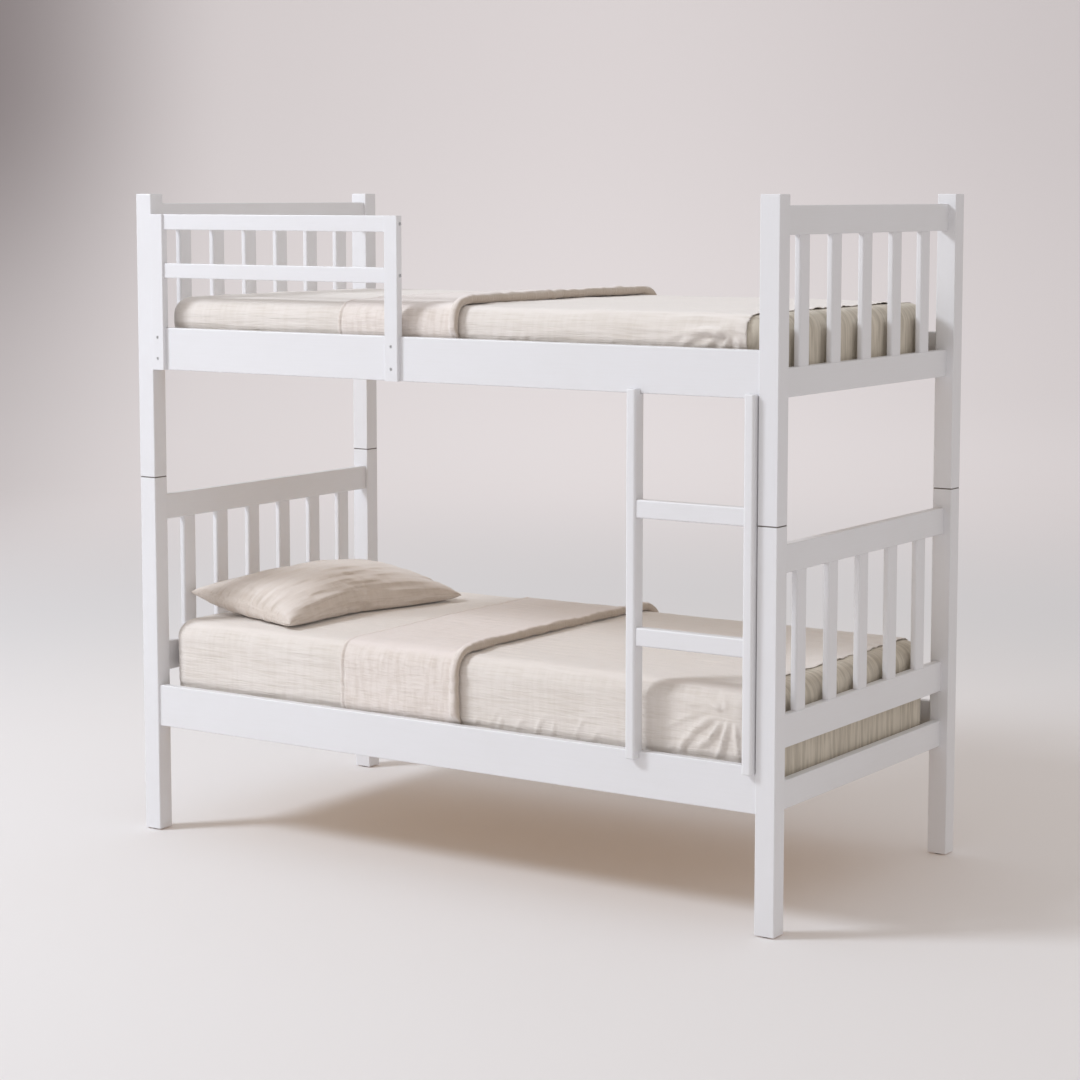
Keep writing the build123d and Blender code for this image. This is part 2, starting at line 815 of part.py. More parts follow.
for tier in (lower, upper):
    for end_name, end in ends.items():
        slats = make_end_slats(tier, end_name)
        save(slats, f"{tier.name}_{end_name}_end_slats")
        for rail_name in tier.rails:
            rail = make_end_rail(tier, end_name, rail_name, slats)
            save(rail, f"{tier.name}_{end_name}_end_{rail_name}")
        for side_name, side in sides.items():
            save(make_post(tier, end, side), f"{tier.name}_post_{side_name}_{end_name}")
    for side_name, side in sides.items():
        holds_ladder = tier is lower and side_name == "front"
        rail = make_side_rail(tier, side, pins_in_rail if holds_ladder else None)
        save(rail, f"{tier.name}_side_rail_{side_name}")
        save(make_ledger(tier, side), f"{tier.name}_ledger_{side_name}")
    save(make_base_slats(tier), f"{tier.name}_base_slats")
    save(make_dowels(tier), f"{tier.name}_end_dowels")
    save(make_rail_hooks(tier), f"{tier.name}_rail_hooks")
    save(make_post_plates(tier), f"{tier.name}_post_plates")
    save(make_wood_screws(tier), f"{tier.name}_wood_screws")

save(make_stacking_pins(), "stacking_pins")
save(make_glides(), "floor_glides")
save(pins_in_rail, "ladder_pins")

for name in guard_stile_xs:
    save(make_guard_stile(name), f"guard_stile_{name}")
for name in guard_rails:
    save(make_guard_rail(name), f"guard_{name}_rail")
save(make_guard_screws(), "guard_screws")
save(make_guard_bolts(), "guard_bolts")

for name in ladder_stile_xs:
    save(make_ladder_stile(name), f"ladder_stile_{name}")
for name, top in rung_tops.items():
    save(make_rung(top), f"ladder_rung_{name}")
save(make_rung_dowels(), "ladder_rung_dowels")

for tier, thickness in ((lower, lower_mattress_thickness), (upper, upper_mattress_thickness)):
    save(make_mattress(tier, thickness), f"{tier.name}_mattress")
    save(make_coverlet(tier, thickness), f"{tier.name}_coverlet")
save(make_pillow(lower, lower_mattress_thickness), "pillow")
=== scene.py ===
"""Looks for a white bunk bed with made-up mattresses, a pillow and a ladder that comes off.

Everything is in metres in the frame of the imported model: X along the bed, Y from front to rear, Z up.
"""

import itertools
import logging
import math
from dataclasses import dataclass, field
from enum import Enum
from typing import Any, Mapping, Optional, Sequence, Union

import bpy
import numpy as np
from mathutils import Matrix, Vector

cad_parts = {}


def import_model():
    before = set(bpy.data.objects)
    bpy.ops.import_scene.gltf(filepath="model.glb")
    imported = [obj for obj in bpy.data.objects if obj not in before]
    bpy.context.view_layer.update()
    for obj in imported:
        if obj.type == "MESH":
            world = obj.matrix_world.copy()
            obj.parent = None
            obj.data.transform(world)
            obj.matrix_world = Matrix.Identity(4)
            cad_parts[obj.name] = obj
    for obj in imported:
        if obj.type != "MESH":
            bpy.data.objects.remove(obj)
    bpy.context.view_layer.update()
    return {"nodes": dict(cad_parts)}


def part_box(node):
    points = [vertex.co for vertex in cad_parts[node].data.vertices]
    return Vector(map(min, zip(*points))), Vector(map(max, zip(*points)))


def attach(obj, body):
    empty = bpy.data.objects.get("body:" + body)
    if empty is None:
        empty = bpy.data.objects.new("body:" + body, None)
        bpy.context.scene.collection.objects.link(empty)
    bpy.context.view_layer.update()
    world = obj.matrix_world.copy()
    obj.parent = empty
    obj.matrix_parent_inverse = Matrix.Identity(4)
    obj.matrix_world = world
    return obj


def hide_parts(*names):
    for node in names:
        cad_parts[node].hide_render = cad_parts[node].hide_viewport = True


log = logging.getLogger("bunk_bed")

CLOTH_MAP = "cloth"  # point attribute: a point's place on the flat cloth, in metres; on the coverlet its third number marks the painted shade of the rolled hem

Colour = tuple[float, float, float]
Place = tuple[float, float, float]
Pair = tuple[float, float]
Triple = tuple[float, float, float]
Stops = tuple[float, float]  # where a ramp starts and ends
Points = np.ndarray


class Run(Enum):
    """The direction in which the fibres of a board run."""

    LONG = 0
    ACROSS = 1
    UPRIGHT = 2


# ---------------------------------------------------------------- shader maths
class Wire:
    """A node's output that can be used in a Python expression."""

    def __init__(self, graph: "Graph", socket: bpy.types.NodeSocket) -> None:
        """Keeps the output and the graph that it belongs to.

        Args:
            graph: The graph that new nodes are added to.
            socket: The output.
        """
        self.graph = graph
        self.socket = socket

    def _math(self, operation: str, *values: Union["Wire", float]) -> "Wire":
        """Adds a Math node.

        Args:
            operation: The node's operation.
            *values: Its inputs, in order.

        Returns:
            The node's output.
        """
        return self.graph.add("ShaderNodeMath", {"operation": operation}, dict(enumerate(values)))

    def __add__(self, other: Union["Wire", float]) -> "Wire":
        """This value plus another."""
        return self._math("ADD", self, other)

    def __radd__(self, other: float) -> "Wire":
        """A number plus this value."""
        return self._math("ADD", other, self)

    def __sub__(self, other: Union["Wire", float]) -> "Wire":
        """This value minus another."""
        return self._math("SUBTRACT", self, other)

    def __rsub__(self, other: float) -> "Wire":
        """A number minus this value."""
        return self._math("SUBTRACT", other, self)

    def __mul__(self, other: Union["Wire", float]) -> "Wire":
        """This value times another."""
        return self._math("MULTIPLY", self, other)

    def __rmul__(self, other: float) -> "Wire":
        """A number times this value."""
        return self._math("MULTIPLY", other, self)

    def __abs__(self) -> "Wire":
        """This value without its sign."""
        return self._math("ABSOLUTE", self)

    def sine(self) -> "Wire":
        """The sine of this value, in radians."""
        return self._math("SINE", self)

    def ramp(self, low: float, high: float, start: float = 0.0, end: float = 1.0) -> "Wire":
        """Maps a range of this value smoothly to another range.

        Args:
            low: The value that gives start.
            high: The value that gives end.
            start: The result at and below low.
            end: The result at and above high.

        Returns:
            The mapped value.
        """
        settings = {"interpolation_type": "SMOOTHSTEP"}
        values = {"Value": self, "From Min": low, "From Max": high, "To Min": start, "To Max": end}
        return self.graph.add("ShaderNodeMapRange", settings, values, "Result")

    def blend(self, first: Union["Wire", Colour], second: Union["Wire", Colour]) -> "Wire":
        """Mixes two colours with this value as the share of the second.

        Args:
            first: The colour at zero.
            second: The colour at one.

        Returns:
            The mixed colour.
        """
        colours = [value if isinstance(value, Wire) else (*value, 1.0) for value in (first, second)]
        values = {"Factor_Float": self, "A_Color": colours[0], "B_Color": colours[1]}
        return self.graph.add("ShaderNodeMix", {"data_type": "RGBA"}, values, "Result_Color")


class Graph:
    """A node tree that is filled by Python expressions."""

    def __init__(self, tree: bpy.types.NodeTree, material: Optional[bpy.types.Material] = None) -> None:
        """Starts from an empty tree.

        Args:
            tree: The tree of a material or a world.
            material: The material that the tree belongs to, if it belongs to one.
        """
        self.tree = tree
        self.material = material
        self.tree.nodes.clear()

    @classmethod
    def of_material(cls, name: str) -> "Graph":
        """Starts the graph of a new material.

        Args:
            name: The material's name.

        Returns:
            The graph.
        """
        material = bpy.data.materials.new(name)
        material.use_nodes = True
        return cls(material.node_tree, material)

    @staticmethod
    def _pick(sockets: Any, key: Union[int, str]) -> bpy.types.NodeSocket:
        """Finds a socket by number, identifier or name.

        Args:
            sockets: A node's inputs or outputs.
            key: The number, identifier or name.

        Returns:
            The socket.
        """
        if isinstance(key, int):
            return sockets[key]
        return next((s for s in sockets if s.identifier == key), None) or sockets[key]

    def add(
        self,
        kind: str,
        settings: Optional[Mapping[str, Any]] = None,
        values: Optional[Mapping[Union[int, str], Any]] = None,
        output: Union[int, str] = 0,
    ) -> Wire:
        """Adds a node, sets it up and fills its inputs.

        Args:
            kind: The node's type.
            settings: Properties of the node, set first.
            values: Numbers, colours or wires for its inputs.
            output: Which output to return.

        Returns:
            The chosen output.
        """
        node = self.tree.nodes.new(kind)
        for name, setting in (settings or {}).items():
            setattr(node, name, setting)
        for key, value in (values or {}).items():
            socket = self._pick(node.inputs, key)
            if isinstance(value, Wire):
                self.tree.links.new(value.socket, socket)
            else:
                socket.default_value = value
        return Wire(self, self._pick(node.outputs, output))

    def place(self, stretch: Sequence[float] = (1.0, 1.0, 1.0), cloth: bool = False) -> Wire:
        """The place on the surface, scaled.

        Args:
            stretch: The scale of each axis.
            cloth: True for the place on the flat cloth, false for the place in the frame.

        Returns:
            The scaled place.
        """
        if cloth:
            where = self.add("ShaderNodeAttribute", {"attribute_name": CLOTH_MAP}, output="Vector")
        else:
            where = self.add("ShaderNodeTexCoord", output="Object")
        return self.add(
            "ShaderNodeVectorMath", {"operation": "MULTIPLY"}, {0: where, 1: tuple(stretch)}, "Vector"
        )

    def axis(self, place: Wire, name: str) -> Wire:
        """One coordinate of a place: X, Y or Z."""
        return self.add("ShaderNodeSeparateXYZ", None, {"Vector": place}, name)

    def measure(self, operation: str, *places: Union[Wire, Place]) -> Wire:
        """A number that a Vector Math node works out from places.

        Args:
            operation: The node's operation.
            *places: Its inputs, in order.

        Returns:
            The number.
        """
        return self.add("ShaderNodeVectorMath", {"operation": operation}, dict(enumerate(places)), "Value")

    def noise(self, place: Wire, scale: float, detail: float = 2.0, roughness: float = 0.5) -> Wire:
        """Soft noise from about 0 to 1.

        Args:
            place: Where it is read.
            scale: How many cells there are in a metre.
            detail: How many finer layers it has.
            roughness: How strong those are.

        Returns:
            The noise.
        """
        values = {"Vector": place, "Scale": scale, "Detail": detail, "Roughness": roughness}
        return self.add("ShaderNodeTexNoise", None, values, "Fac")

    def bump(self, height: Wire, depth: float, strength: float = 1.0) -> Wire:
        """A normal bent by a height.

        Args:
            height: The height, from 0 to 1.
            depth: How deep one step of it is, in metres.
            strength: How much of it is used.

        Returns:
            The normal.
        """
        values = {"Height": height, "Distance": depth, "Strength": strength}
        return self.add("ShaderNodeBump", None, values, "Normal")

    def finish(self, **values: Any) -> bpy.types.Material:
        """Ends the tree with the main shader.

        Args:
            **values: The shader's inputs, with underscores for spaces.

        Returns:
            The material.
        """
        inputs = {name.replace("_", " "): value for name, value in values.items()}
        surface = self.add("ShaderNodeBsdfPrincipled", None, inputs)
        self.add_output(surface)
        return self.material

    def add_output(self, surface: Wire, kind: str = "ShaderNodeOutputMaterial") -> None:
        """Links a shader to a new output node of a kind."""
        node = self.tree.nodes.new(kind)
        self.tree.links.new(surface.socket, node.inputs["Surface"])


# ---------------------------------------------------------------- finishes
def fibre_stretch(run: Run, along: float, across: float) -> list[float]:
    """Scales for a place so that noise is drawn out along the fibres.

    Args:
        run: The direction of the fibres.
        along: The scale along them.
        across: The scale across them.

    Returns:
        The scale of each axis.
    """
    return [along if axis == run.value else across for axis in range(3)]


@dataclass(frozen=True)
class Lacquer:
    """Satin white lacquer, sprayed on planed wood whose grain still shows a little; on the posts a band of painted
    shade darkens the seam where one post stands on another.
    """

    run: Run
    tint: Colour = (0.80, 0.80, 0.82)
    worn: Colour = (0.72, 0.71, 0.70)
    # painted shade: the colour of the dark seam line where one post stands on another
    end_grain: Colour = (0.20, 0.18, 0.165)
    joint_height: Optional[float] = None  # of the joint where one post stands on another
    joint_half: float = 0.0014  # how far the painted seam shade reaches above and below it
    joint_fade: float = 1.4  # where its edge ends, as a multiple of that
    grain_cells: Pair = (3.0, 70.0)  # along and across the board
    spray_cells: float = 700.0  # of the sprayed surface, in a metre
    grain_dulls: float = 0.10
    cloud_dulls: float = 0.14
    gloss: float = 0.34
    relief: float = 0.00022

    def make(self) -> bpy.types.Material:
        """Makes the material.

        Returns:
            The material.
        """
        kind = self.run.name.lower() if self.joint_height is None else "post"
        g = Graph.of_material(f"white_lacquer_{kind}")
        grain = g.noise(g.place(fibre_stretch(self.run, *self.grain_cells)), scale=4.0, detail=4.0, roughness=0.6)
        cloud = g.noise(g.place(), scale=5.0, detail=3.0)
        spray = g.noise(g.place(), self.spray_cells, detail=1.0)
        shade = grain.ramp(0.35, 0.75) * self.grain_dulls + cloud.ramp(0.35, 0.8) * self.cloud_dulls
        colour = shade.blend(self.tint, self.worn)
        if self.joint_height is not None:
            # painted shade: a dark band where the upper post stands on the lower one
            away = abs(g.axis(g.place(), "Z") - self.joint_height)
            joint = away.ramp(self.joint_half, self.joint_fade * self.joint_half, 1.0, 0.0)
            colour = joint.blend(colour, self.end_grain)
        return g.finish(
            Base_Color=colour,
            Roughness=self.gloss + 0.10 * cloud + 0.06 * grain,
            Coat_Weight=0.12,
            Coat_Roughness=0.25,
            Normal=g.bump(grain * 0.7 + spray * 0.3, self.relief, strength=0.6),
        )


@dataclass(frozen=True)
class BareWood:
    """Planed, unfinished wood with growth rings, fine fibres and a few knots."""

    name: str
    run: Run
    early: Colour
    late: Colour
    rings: float  # how closely the growth rings follow each other
    knots: float  # how dark a knot is
    ring_cells: Pair = (0.35, 6.0)  # along and across the board
    fibre_cells: Pair = (8.0, 500.0)
    knot_cells: Pair = (3.0, 9.0)
    knot_edge: Stops = (0.03, 0.10)  # from the heart of a knot, in its cell
    knot_shade: float = 0.35  # a knot's colour, as a share of the late wood's
    relief: float = 0.0003

    def make(self) -> bpy.types.Material:
        """Makes the material.

        Returns:
            The material.
        """
        g = Graph.of_material(f"{self.name}_{self.run.name.lower()}")
        wander = g.noise(g.place(fibre_stretch(self.run, *self.ring_cells)), scale=1.6, detail=3.0)
        ring = (wander * (self.rings * 1.2)).sine().ramp(-0.2, 1.0)
        fibre = g.noise(g.place(fibre_stretch(self.run, *self.fibre_cells)), scale=1.0)
        spot = g.add(
            "ShaderNodeTexVoronoi",
            {"feature": "F1"},
            {"Vector": g.place(fibre_stretch(self.run, *self.knot_cells)), "Scale": 1.0},
            "Distance",
        )
        knot = spot.ramp(*self.knot_edge, 1.0, 0.0) * self.knots
        wood = (ring * 0.75 + fibre * 0.25).blend(self.early, self.late)
        return g.finish(
            Base_Color=knot.blend(wood, tuple(self.knot_shade * part for part in self.late)),
            Roughness=0.52 + 0.2 * fibre,
            Normal=g.bump(fibre * 0.6 + ring * 0.4, self.relief, strength=0.7),
        )


@dataclass(frozen=True)
class Steel:
    """Zinc-plated steel with fine drawn lines and dull patches."""

    tint: Colour = (0.62, 0.63, 0.64)
    dull: Colour = (0.48, 0.48, 0.47)
    drawn_cells: Triple = (40.0, 40.0, 900.0)  # of the drawn lines, in a metre of each axis
    patch_cells: float = 160.0
    relief: float = 0.0001

    def make(self) -> bpy.types.Material:
        """Makes the material.

        Returns:
            The material.
        """
        g = Graph.of_material("zinc_steel")
        lines = g.noise(g.place(self.drawn_cells), scale=1.0)
        patches = g.noise(g.place(), self.patch_cells, detail=3.0)
        return g.finish(
            Base_Color=patches.ramp(0.45, 0.75).blend(self.tint, self.dull),
            Metallic=1.0,
            Roughness=0.26 + 0.14 * lines + 0.12 * patches,
            Normal=g.bump(lines, self.relief, strength=0.5),
        )


@dataclass(frozen=True)
class Nylon:
    """Matt moulded nylon with a fine spark-eroded grain."""

    tint: Colour = (0.055, 0.052, 0.05)
    scuffed: Colour = (0.12, 0.115, 0.11)
    grain_cells: float = 1400.0
    scuff_cells: Triple = (60.0, 60.0, 400.0)
    relief: float = 0.00012

    def make(self) -> bpy.types.Material:
        """Makes the material.

        Returns:
            The material.
        """
        g = Graph.of_material("nylon_glide")
        grain = g.noise(g.place(), self.grain_cells)
        scuffs = g.noise(g.place(self.scuff_cells), scale=3.0, detail=4.0)
        return g.finish(
            Base_Color=scuffs.ramp(0.5, 0.8).blend(self.tint, self.scuffed),
            Roughness=0.5 + 0.2 * grain,
            Normal=g.bump(grain, self.relief, strength=0.8),
        )


@dataclass(frozen=True)
class Gauze:
    """Crinkled cotton gauze: puckers drawn out along the cloth, over an open plain weave, with painted shade in the
    hollows of the puckers, between the threads and on the lower side of a rolled hem, and painted light on level
    cloth.
    """

    name: str
    light: Colour
    # deep is the colour of the random mottle and of the painted shade
    deep: Colour
    bleached: Colour  # painted light: the lighter colour of level cloth, which faces the light
    pucker_length: float = 0.16  # metres along the cloth
    pucker_width: float = 0.012  # metres across it
    cross_puckers: float = 0.25  # how strong the puckers across the cloth are
    thread: float = 0.0011  # metres from one thread to the next
    depth: float = 0.0034
    level_from: Stops = (0.6, 0.97)  # upward part of the normal: sloping cloth, level cloth
    calm: float = 0.22  # how much of the puckering is left on level cloth
    bleaching: float = 1.2  # how strongly level cloth takes the painted light
    hem: Optional[Colour] = None  # painted shade: the darker colour on the lower side of a rolled hem
    hem_cover: float = 0.85
    # painted shade: darkens the hollows of the puckers
    valley_dark: float = 0.26
    mottle_dark: float = 0.18
    # painted shade: darkens the gaps between the threads
    weave_dark: float = 0.06
    weave_relief: float = 0.02  # as a share of the puckers' depth

    def puckers(self, g: Graph, along: float, across: float, detail: float = 2.0, roughness: float = 0.5) -> Wire:
        """Noise for puckers of one size.

        Args:
            g: The material's graph.
            along: Cells in a metre along the cloth.
            across: Cells in a metre across it.
            detail: How many finer layers it has.
            roughness: How strong those are.

        Returns:
            The noise.
        """
        return g.noise(g.place((along, across, 1.0), cloth=True), 1.0, detail, roughness)

    def make(self) -> bpy.types.Material:
        """Makes the material.

        Returns:
            The material.
        """
        g = Graph.of_material(self.name)
        coarse = self.puckers(g, 1 / self.pucker_length, 1 / self.pucker_width, detail=3.0, roughness=0.55)
        ridge = 1 - 2 * abs(coarse - 0.5)
        fine = self.puckers(g, 3 / self.pucker_length, 2.6 / self.pucker_width)
        cross = self.puckers(g, 0.8 / self.pucker_width, 1.1 / self.pucker_length)
        mottle = g.noise(g.place(cloth=True), scale=7.0, detail=3.0)
        along, across = (g.axis(g.place(cloth=True), name) for name in ("X", "Y"))
        turns = 2 * math.pi / self.thread
        weave = abs((along * turns).sine()) * abs((across * turns).sine())
        normal = g.add("ShaderNodeNewGeometry", output="Normal")
        slope = g.axis(normal, "Z").ramp(*self.level_from, 1.0, self.calm)
        height = (ridge * 0.55 + fine * 0.3 + cross * self.cross_puckers) * slope + weave * self.weave_relief
        # painted shade: darker colour in the hollows of the puckers
        pucker_hollow_mask = slope * (
            ridge.ramp(0.62, 0.98, 1.0, 0.0) * self.valley_dark
            + cross.ramp(0.35, 0.6, 1.0, 0.0) * (0.45 * self.cross_puckers)
        )
        # painted shade between the threads joins the painted shade of the hollows; the mottle is random tone
        shade = pucker_hollow_mask + mottle.ramp(0.3, 0.8) * self.mottle_dark + (1 - weave) * self.weave_dark
        # painted light: level cloth, which faces the light, takes a lighter colour
        cloth = ((1 - slope) * self.bleaching).blend(self.light, self.bleached)
        colour = (shade * slope).blend(cloth, self.deep)
        # painted shade: the lower side of a rolled hem, marked in the cloth map's third number, takes a darker
        # colour
        if self.hem:
            colour = (g.axis(g.place(cloth=True), "Z") * self.hem_cover).blend(colour, self.hem)
        return g.finish(
            Base_Color=colour,
            Roughness=0.86 + 0.1 * fine,
            Sheen_Weight=0.5,
            Sheen_Roughness=0.45,
            Specular_IOR_Level=0.25,
            Normal=g.bump(height, self.depth, strength=0.9),
        )


@dataclass(frozen=True)
class Ticking:
    """Khaki mattress ticking with uneven ribs, which run down the sides of the mattress."""

    light: Colour = (0.68, 0.62, 0.52)
    deep: Colour = (0.47, 0.42, 0.34)
    rib: float = 0.012  # metres from one rib to the next
    rib_breaks: float = 6.0  # places in a metre down the side where a rib changes
    twill_cells: float = 900.0
    stain_dark: float = 0.25
    relief: float = 0.0020

    def make(self) -> bpy.types.Material:
        """Makes the material.

        Returns:
            The material.
        """
        g = Graph.of_material("mattress_ticking")
        along_ribs = g.place((1 / self.rib, self.rib_breaks, 1.0), cloth=True)
        ribs = g.noise(along_ribs, scale=1.0, detail=3.0, roughness=0.6)
        twill = g.noise(g.place((self.twill_cells, self.twill_cells, 1.0), cloth=True), scale=1.0, detail=1.0)
        stain = g.noise(g.place(cloth=True), scale=5.0, detail=3.0)
        shade = ribs.ramp(0.35, 0.62, 0.75, 0.0) + stain.ramp(0.3, 0.8) * self.stain_dark
        return g.finish(
            Base_Color=shade.blend(self.light, self.deep),
            Roughness=0.88 + 0.08 * twill,
            Sheen_Weight=0.15,
            Normal=g.bump(ribs * 0.9 + twill * 0.1, self.relief, strength=0.9),
        )


@dataclass(frozen=True)
class StudioPaper:
    """Matt paper of the studio floor and backdrop, with a soft painted pool of light on the backdrop, painted shade
    that darkens the paper towards the left, the right and high up, away from the bed, and a painted warm glow on
    the floor round the bed.
    """

    near: Colour = (0.74, 0.755, 0.77)
    far: Colour = (0.74, 0.70, 0.70)
    dim: Colour = (0.20, 0.165, 0.17)  # the far paper where little light falls
    pool: Colour = (0.33, 0.315, 0.32)
    pool_middle: Place = (-4.6, 9.6, 2.2)
    pool_fade: Stops = (1.0, 9.0)  # metres from its middle
    pool_left: float = 0.30  # how much of its light is left beyond that
    reach: float = 9.0  # metres from the bed to the foot of the backdrop
    far_from: float = 1.0  # metres from the bed, where the far paper's tone begins
    lit_from: float = 1.2  # where the pool's light begins
    dark_from: float = 3.0  # where the paper begins to darken
    aside: Place = (0.8315, 0.5555, 0.0)  # direction from the left of the backdrop to its right
    away: Place = (-0.5555, 0.8315, 0.0)  # direction from the front of the floor to the backdrop
    left_fade: Stops = (-4.2, -2.2)  # metres aside, between the dark left and the middle
    left_dark: Pair = (0.26, 0.36)  # at the floor, and how much more it is high up
    ahead_fade: Stops = (0.0, 6.0)  # metres away, from which the dark left begins
    right_fade: Stops = (0.0, 4.2)
    right_dark: float = 0.14
    all_dark: float = 0.13
    high_dark: float = 0.07
    rise: Stops = (0.1, 2.6)  # heights between low and high paper
    foot: Stops = (0.0, 0.5)  # heights between the floor and the curve of the backdrop
    floor_share: float = 0.8  # of the darkness that the floor takes
    warmth: Colour = (0.085, 0.052, 0.034)  # painted light: a warm glow of the floor round the bed, which lightens the bed's shadow
    warm_fade: Stops = (1.8, 5.0)  # metres from the bed
    black: Colour = (0.0, 0.0, 0.0)

    def darkness(self, g: Graph, distance: Wire) -> Wire:
        """How much painted shade the paper gets: more at the left, the right and high up, and none near the bed.

        Args:
            g: The material's graph.
            distance: The distance from the bed's middle.

        Returns:
            The painted shade, from 0 to 1.
        """
        beside, ahead = (g.measure("DOT_PRODUCT", g.place(), way) for way in (self.aside, self.away))
        height = g.axis(g.place(), "Z")
        high = height.ramp(*self.rise)
        low_left, more_left = self.left_dark
        left = beside.ramp(*self.left_fade, 1.0, 0.0) * (low_left + more_left * high) * ahead.ramp(*self.ahead_fade)
        right = beside.ramp(*self.right_fade, 0.0, self.right_dark) + self.all_dark
        low = height.ramp(*self.foot, self.floor_share, 1.0)
        return (left + right * low + self.high_dark * high) * distance.ramp(self.dark_from, self.reach)

    def make(self) -> bpy.types.Material:
        """Makes the material.

        Returns:
            The material.
        """
        g = Graph.of_material("studio_paper")
        distance = g.measure("LENGTH", g.place())
        from_pool = g.measure("DISTANCE", g.place(), self.pool_middle)
        mottle = g.noise(g.place(), scale=1.5, detail=3.0)
        shade = distance.ramp(self.far_from, self.reach) * 0.9 + mottle * 0.1
        # painted shade: the paper darkens at the left, the right and high up, away from the bed
        dark = self.darkness(g, distance)
        pool = from_pool.ramp(*self.pool_fade, 1.0, self.pool_left)
        lit = distance.ramp(self.lit_from, self.reach) * pool * (1 - dark)
        # painted light: the floor glows warm round the bed
        near_bed = distance.ramp(*self.warm_fade, 1.0, 0.0)
        return g.finish(
            Base_Color=dark.blend(shade.blend(self.near, self.far), self.dim),
            Roughness=0.75 + 0.1 * mottle,
            Specular_IOR_Level=0.2,
            Emission_Color=near_bed.blend(lit.blend(self.black, self.pool), self.warmth),
            Emission_Strength=1.0,
        )


# ---------------------------------------------------------------- mesh helpers
def lattice_noise(places: Points, seed: int) -> Points:
    """Smooth noise from -1 to 1 on a lattice of whole numbers.

    Args:
        places: Places in cells, one row each.
        seed: Chooses the pattern.

    Returns:
        One value for each place.
    """
    cell = np.floor(places).astype(np.int64)
    part = places - cell
    ease = part * part * (3 - 2 * part)
    total = np.zeros(len(places))
    for corner in itertools.product((0, 1), repeat=3):
        key = (cell + corner) @ np.array([73856093, 19349663, 83492791]) + seed * 2654435761
        key = (key ^ (key >> 13)) * 1274126177 & 0x7FFFFFFF
        key = (key ^ (key >> 16)) * 1911520717 & 0x7FFFFFFF
        value = (key & 0xFFFF) / 32767.5 - 1
        total += value * np.prod(np.where(corner, ease, 1 - ease), axis=1)
    return total


def cloth_noise(flat: Points, along: float, across: float, seed: int) -> Points:
    """Noise on the flat cloth, drawn out along it.

    Args:
        flat: Places on the flat cloth, in metres.
        along: The length of a cell along the cloth, in metres.
        across: The length of a cell across it.
        seed: Chooses the pattern.

    Returns:
        One value from -1 to 1 for each place.
    """
    return lattice_noise(np.column_stack([flat[:, 0] / along, flat[:, 1] / across, flat[:, 2]]), seed)


def cloth_relief(flat: Points, layers: Sequence[Triple], seed: int) -> Points:
    """Adds up layers of noise on the flat cloth.

    Args:
        flat: Places on the flat cloth, in metres.
        layers: The height of each layer, and the length and the width of its cells, in metres.
        seed: Chooses the pattern of the first layer. Each next layer takes the next seed.

    Returns:
        One height for each place.
    """
    relief = np.zeros(len(flat))
    for number, (height, along, across) in enumerate(layers):
        relief += height * cloth_noise(flat, along, across, seed + number)
    return relief


def smooth_step(value: Points, low: float, high: float) -> Points:
    """Goes smoothly from 0 at low to 1 at high."""
    part = np.clip((value - low) / (high - low), 0, 1)
    return part * part * (3 - 2 * part)


def point_normals(points: Points, quads: Points) -> Points:
    """Unit normals of a quad mesh at its points.

    Args:
        points: The points.
        quads: Four point numbers for each face.

    Returns:
        One normal for each point.
    """
    corners = points[quads]
    face = np.cross(corners[:, 2] - corners[:, 0], corners[:, 3] - corners[:, 1])
    normals = np.zeros_like(points)
    for corner in range(4):
        np.add.at(normals, quads[:, corner], face)
    return normals / np.maximum(np.linalg.norm(normals, axis=1, keepdims=True), 1e-12)


def make_piece(
    name: str, points: Points, faces: Any, material: bpy.types.Material, flat: Optional[Points] = None
) -> bpy.types.Object:
    """Makes a smooth mesh piece.

    Args:
        name: The piece's name.
        points: Its points.
        faces: Point numbers for each face.
        material: Its material.
        flat: Places of the points on the flat cloth.

    Returns:
        The piece.
    """
    mesh = bpy.data.meshes.new(name)
    mesh.from_pydata(points.tolist(), [], [list(map(int, face)) for face in faces])
    mesh.validate()
    mesh.polygons.foreach_set("use_smooth", [True] * len(mesh.polygons))
    if flat is not None:
        attribute = mesh.attributes.new(CLOTH_MAP, "FLOAT_VECTOR", "POINT")
        attribute.data.foreach_set("vector", flat.astype(np.float32).ravel())
    mesh.materials.append(material)
    mesh.update()
    piece = bpy.data.objects.new(name, mesh)
    bpy.context.scene.collection.objects.link(piece)
    return piece


def read_rows(rows: Any, what: str) -> Points:
    """Reads three numbers from each row of a collection of Blender's.

    Args:
        rows: The collection.
        what: The property that holds the numbers.

    Returns:
        One row of three numbers for each.
    """
    numbers = np.zeros(len(rows) * 3, np.float32)
    rows.foreach_get(what, numbers)
    return numbers.reshape(-1, 3).astype(float)


def read_points(piece: bpy.types.Object) -> Points:
    """The points of a piece's mesh."""
    return read_rows(piece.data.vertices, "co")


def write_points(piece: bpy.types.Object, points: Points) -> None:
    """Puts a piece's points in new places."""
    piece.data.vertices.foreach_set("co", points.astype(np.float32).ravel())
    piece.data.update()


def apply_modifier(piece: bpy.types.Object, modifier: bpy.types.Modifier) -> None:
    """Applies a modifier to a piece's mesh."""
    with bpy.context.temp_override(object=piece, active_object=piece, selected_objects=[piece]):
        bpy.ops.object.modifier_apply(modifier=modifier.name)


def join_points(points: Points, quads: Points) -> tuple[Points, Points]:
    """Joins points that lie in the same place, to a thousandth of a millimetre.

    Args:
        points: The points.
        quads: Four point numbers for each face.

    Returns:
        The joined points and the quads between them.
    """
    keys = np.round(points * 1e6).astype(np.int64)
    _, kept, where = np.unique(keys, axis=0, return_index=True, return_inverse=True)
    return points[kept], where.reshape(-1)[quads]


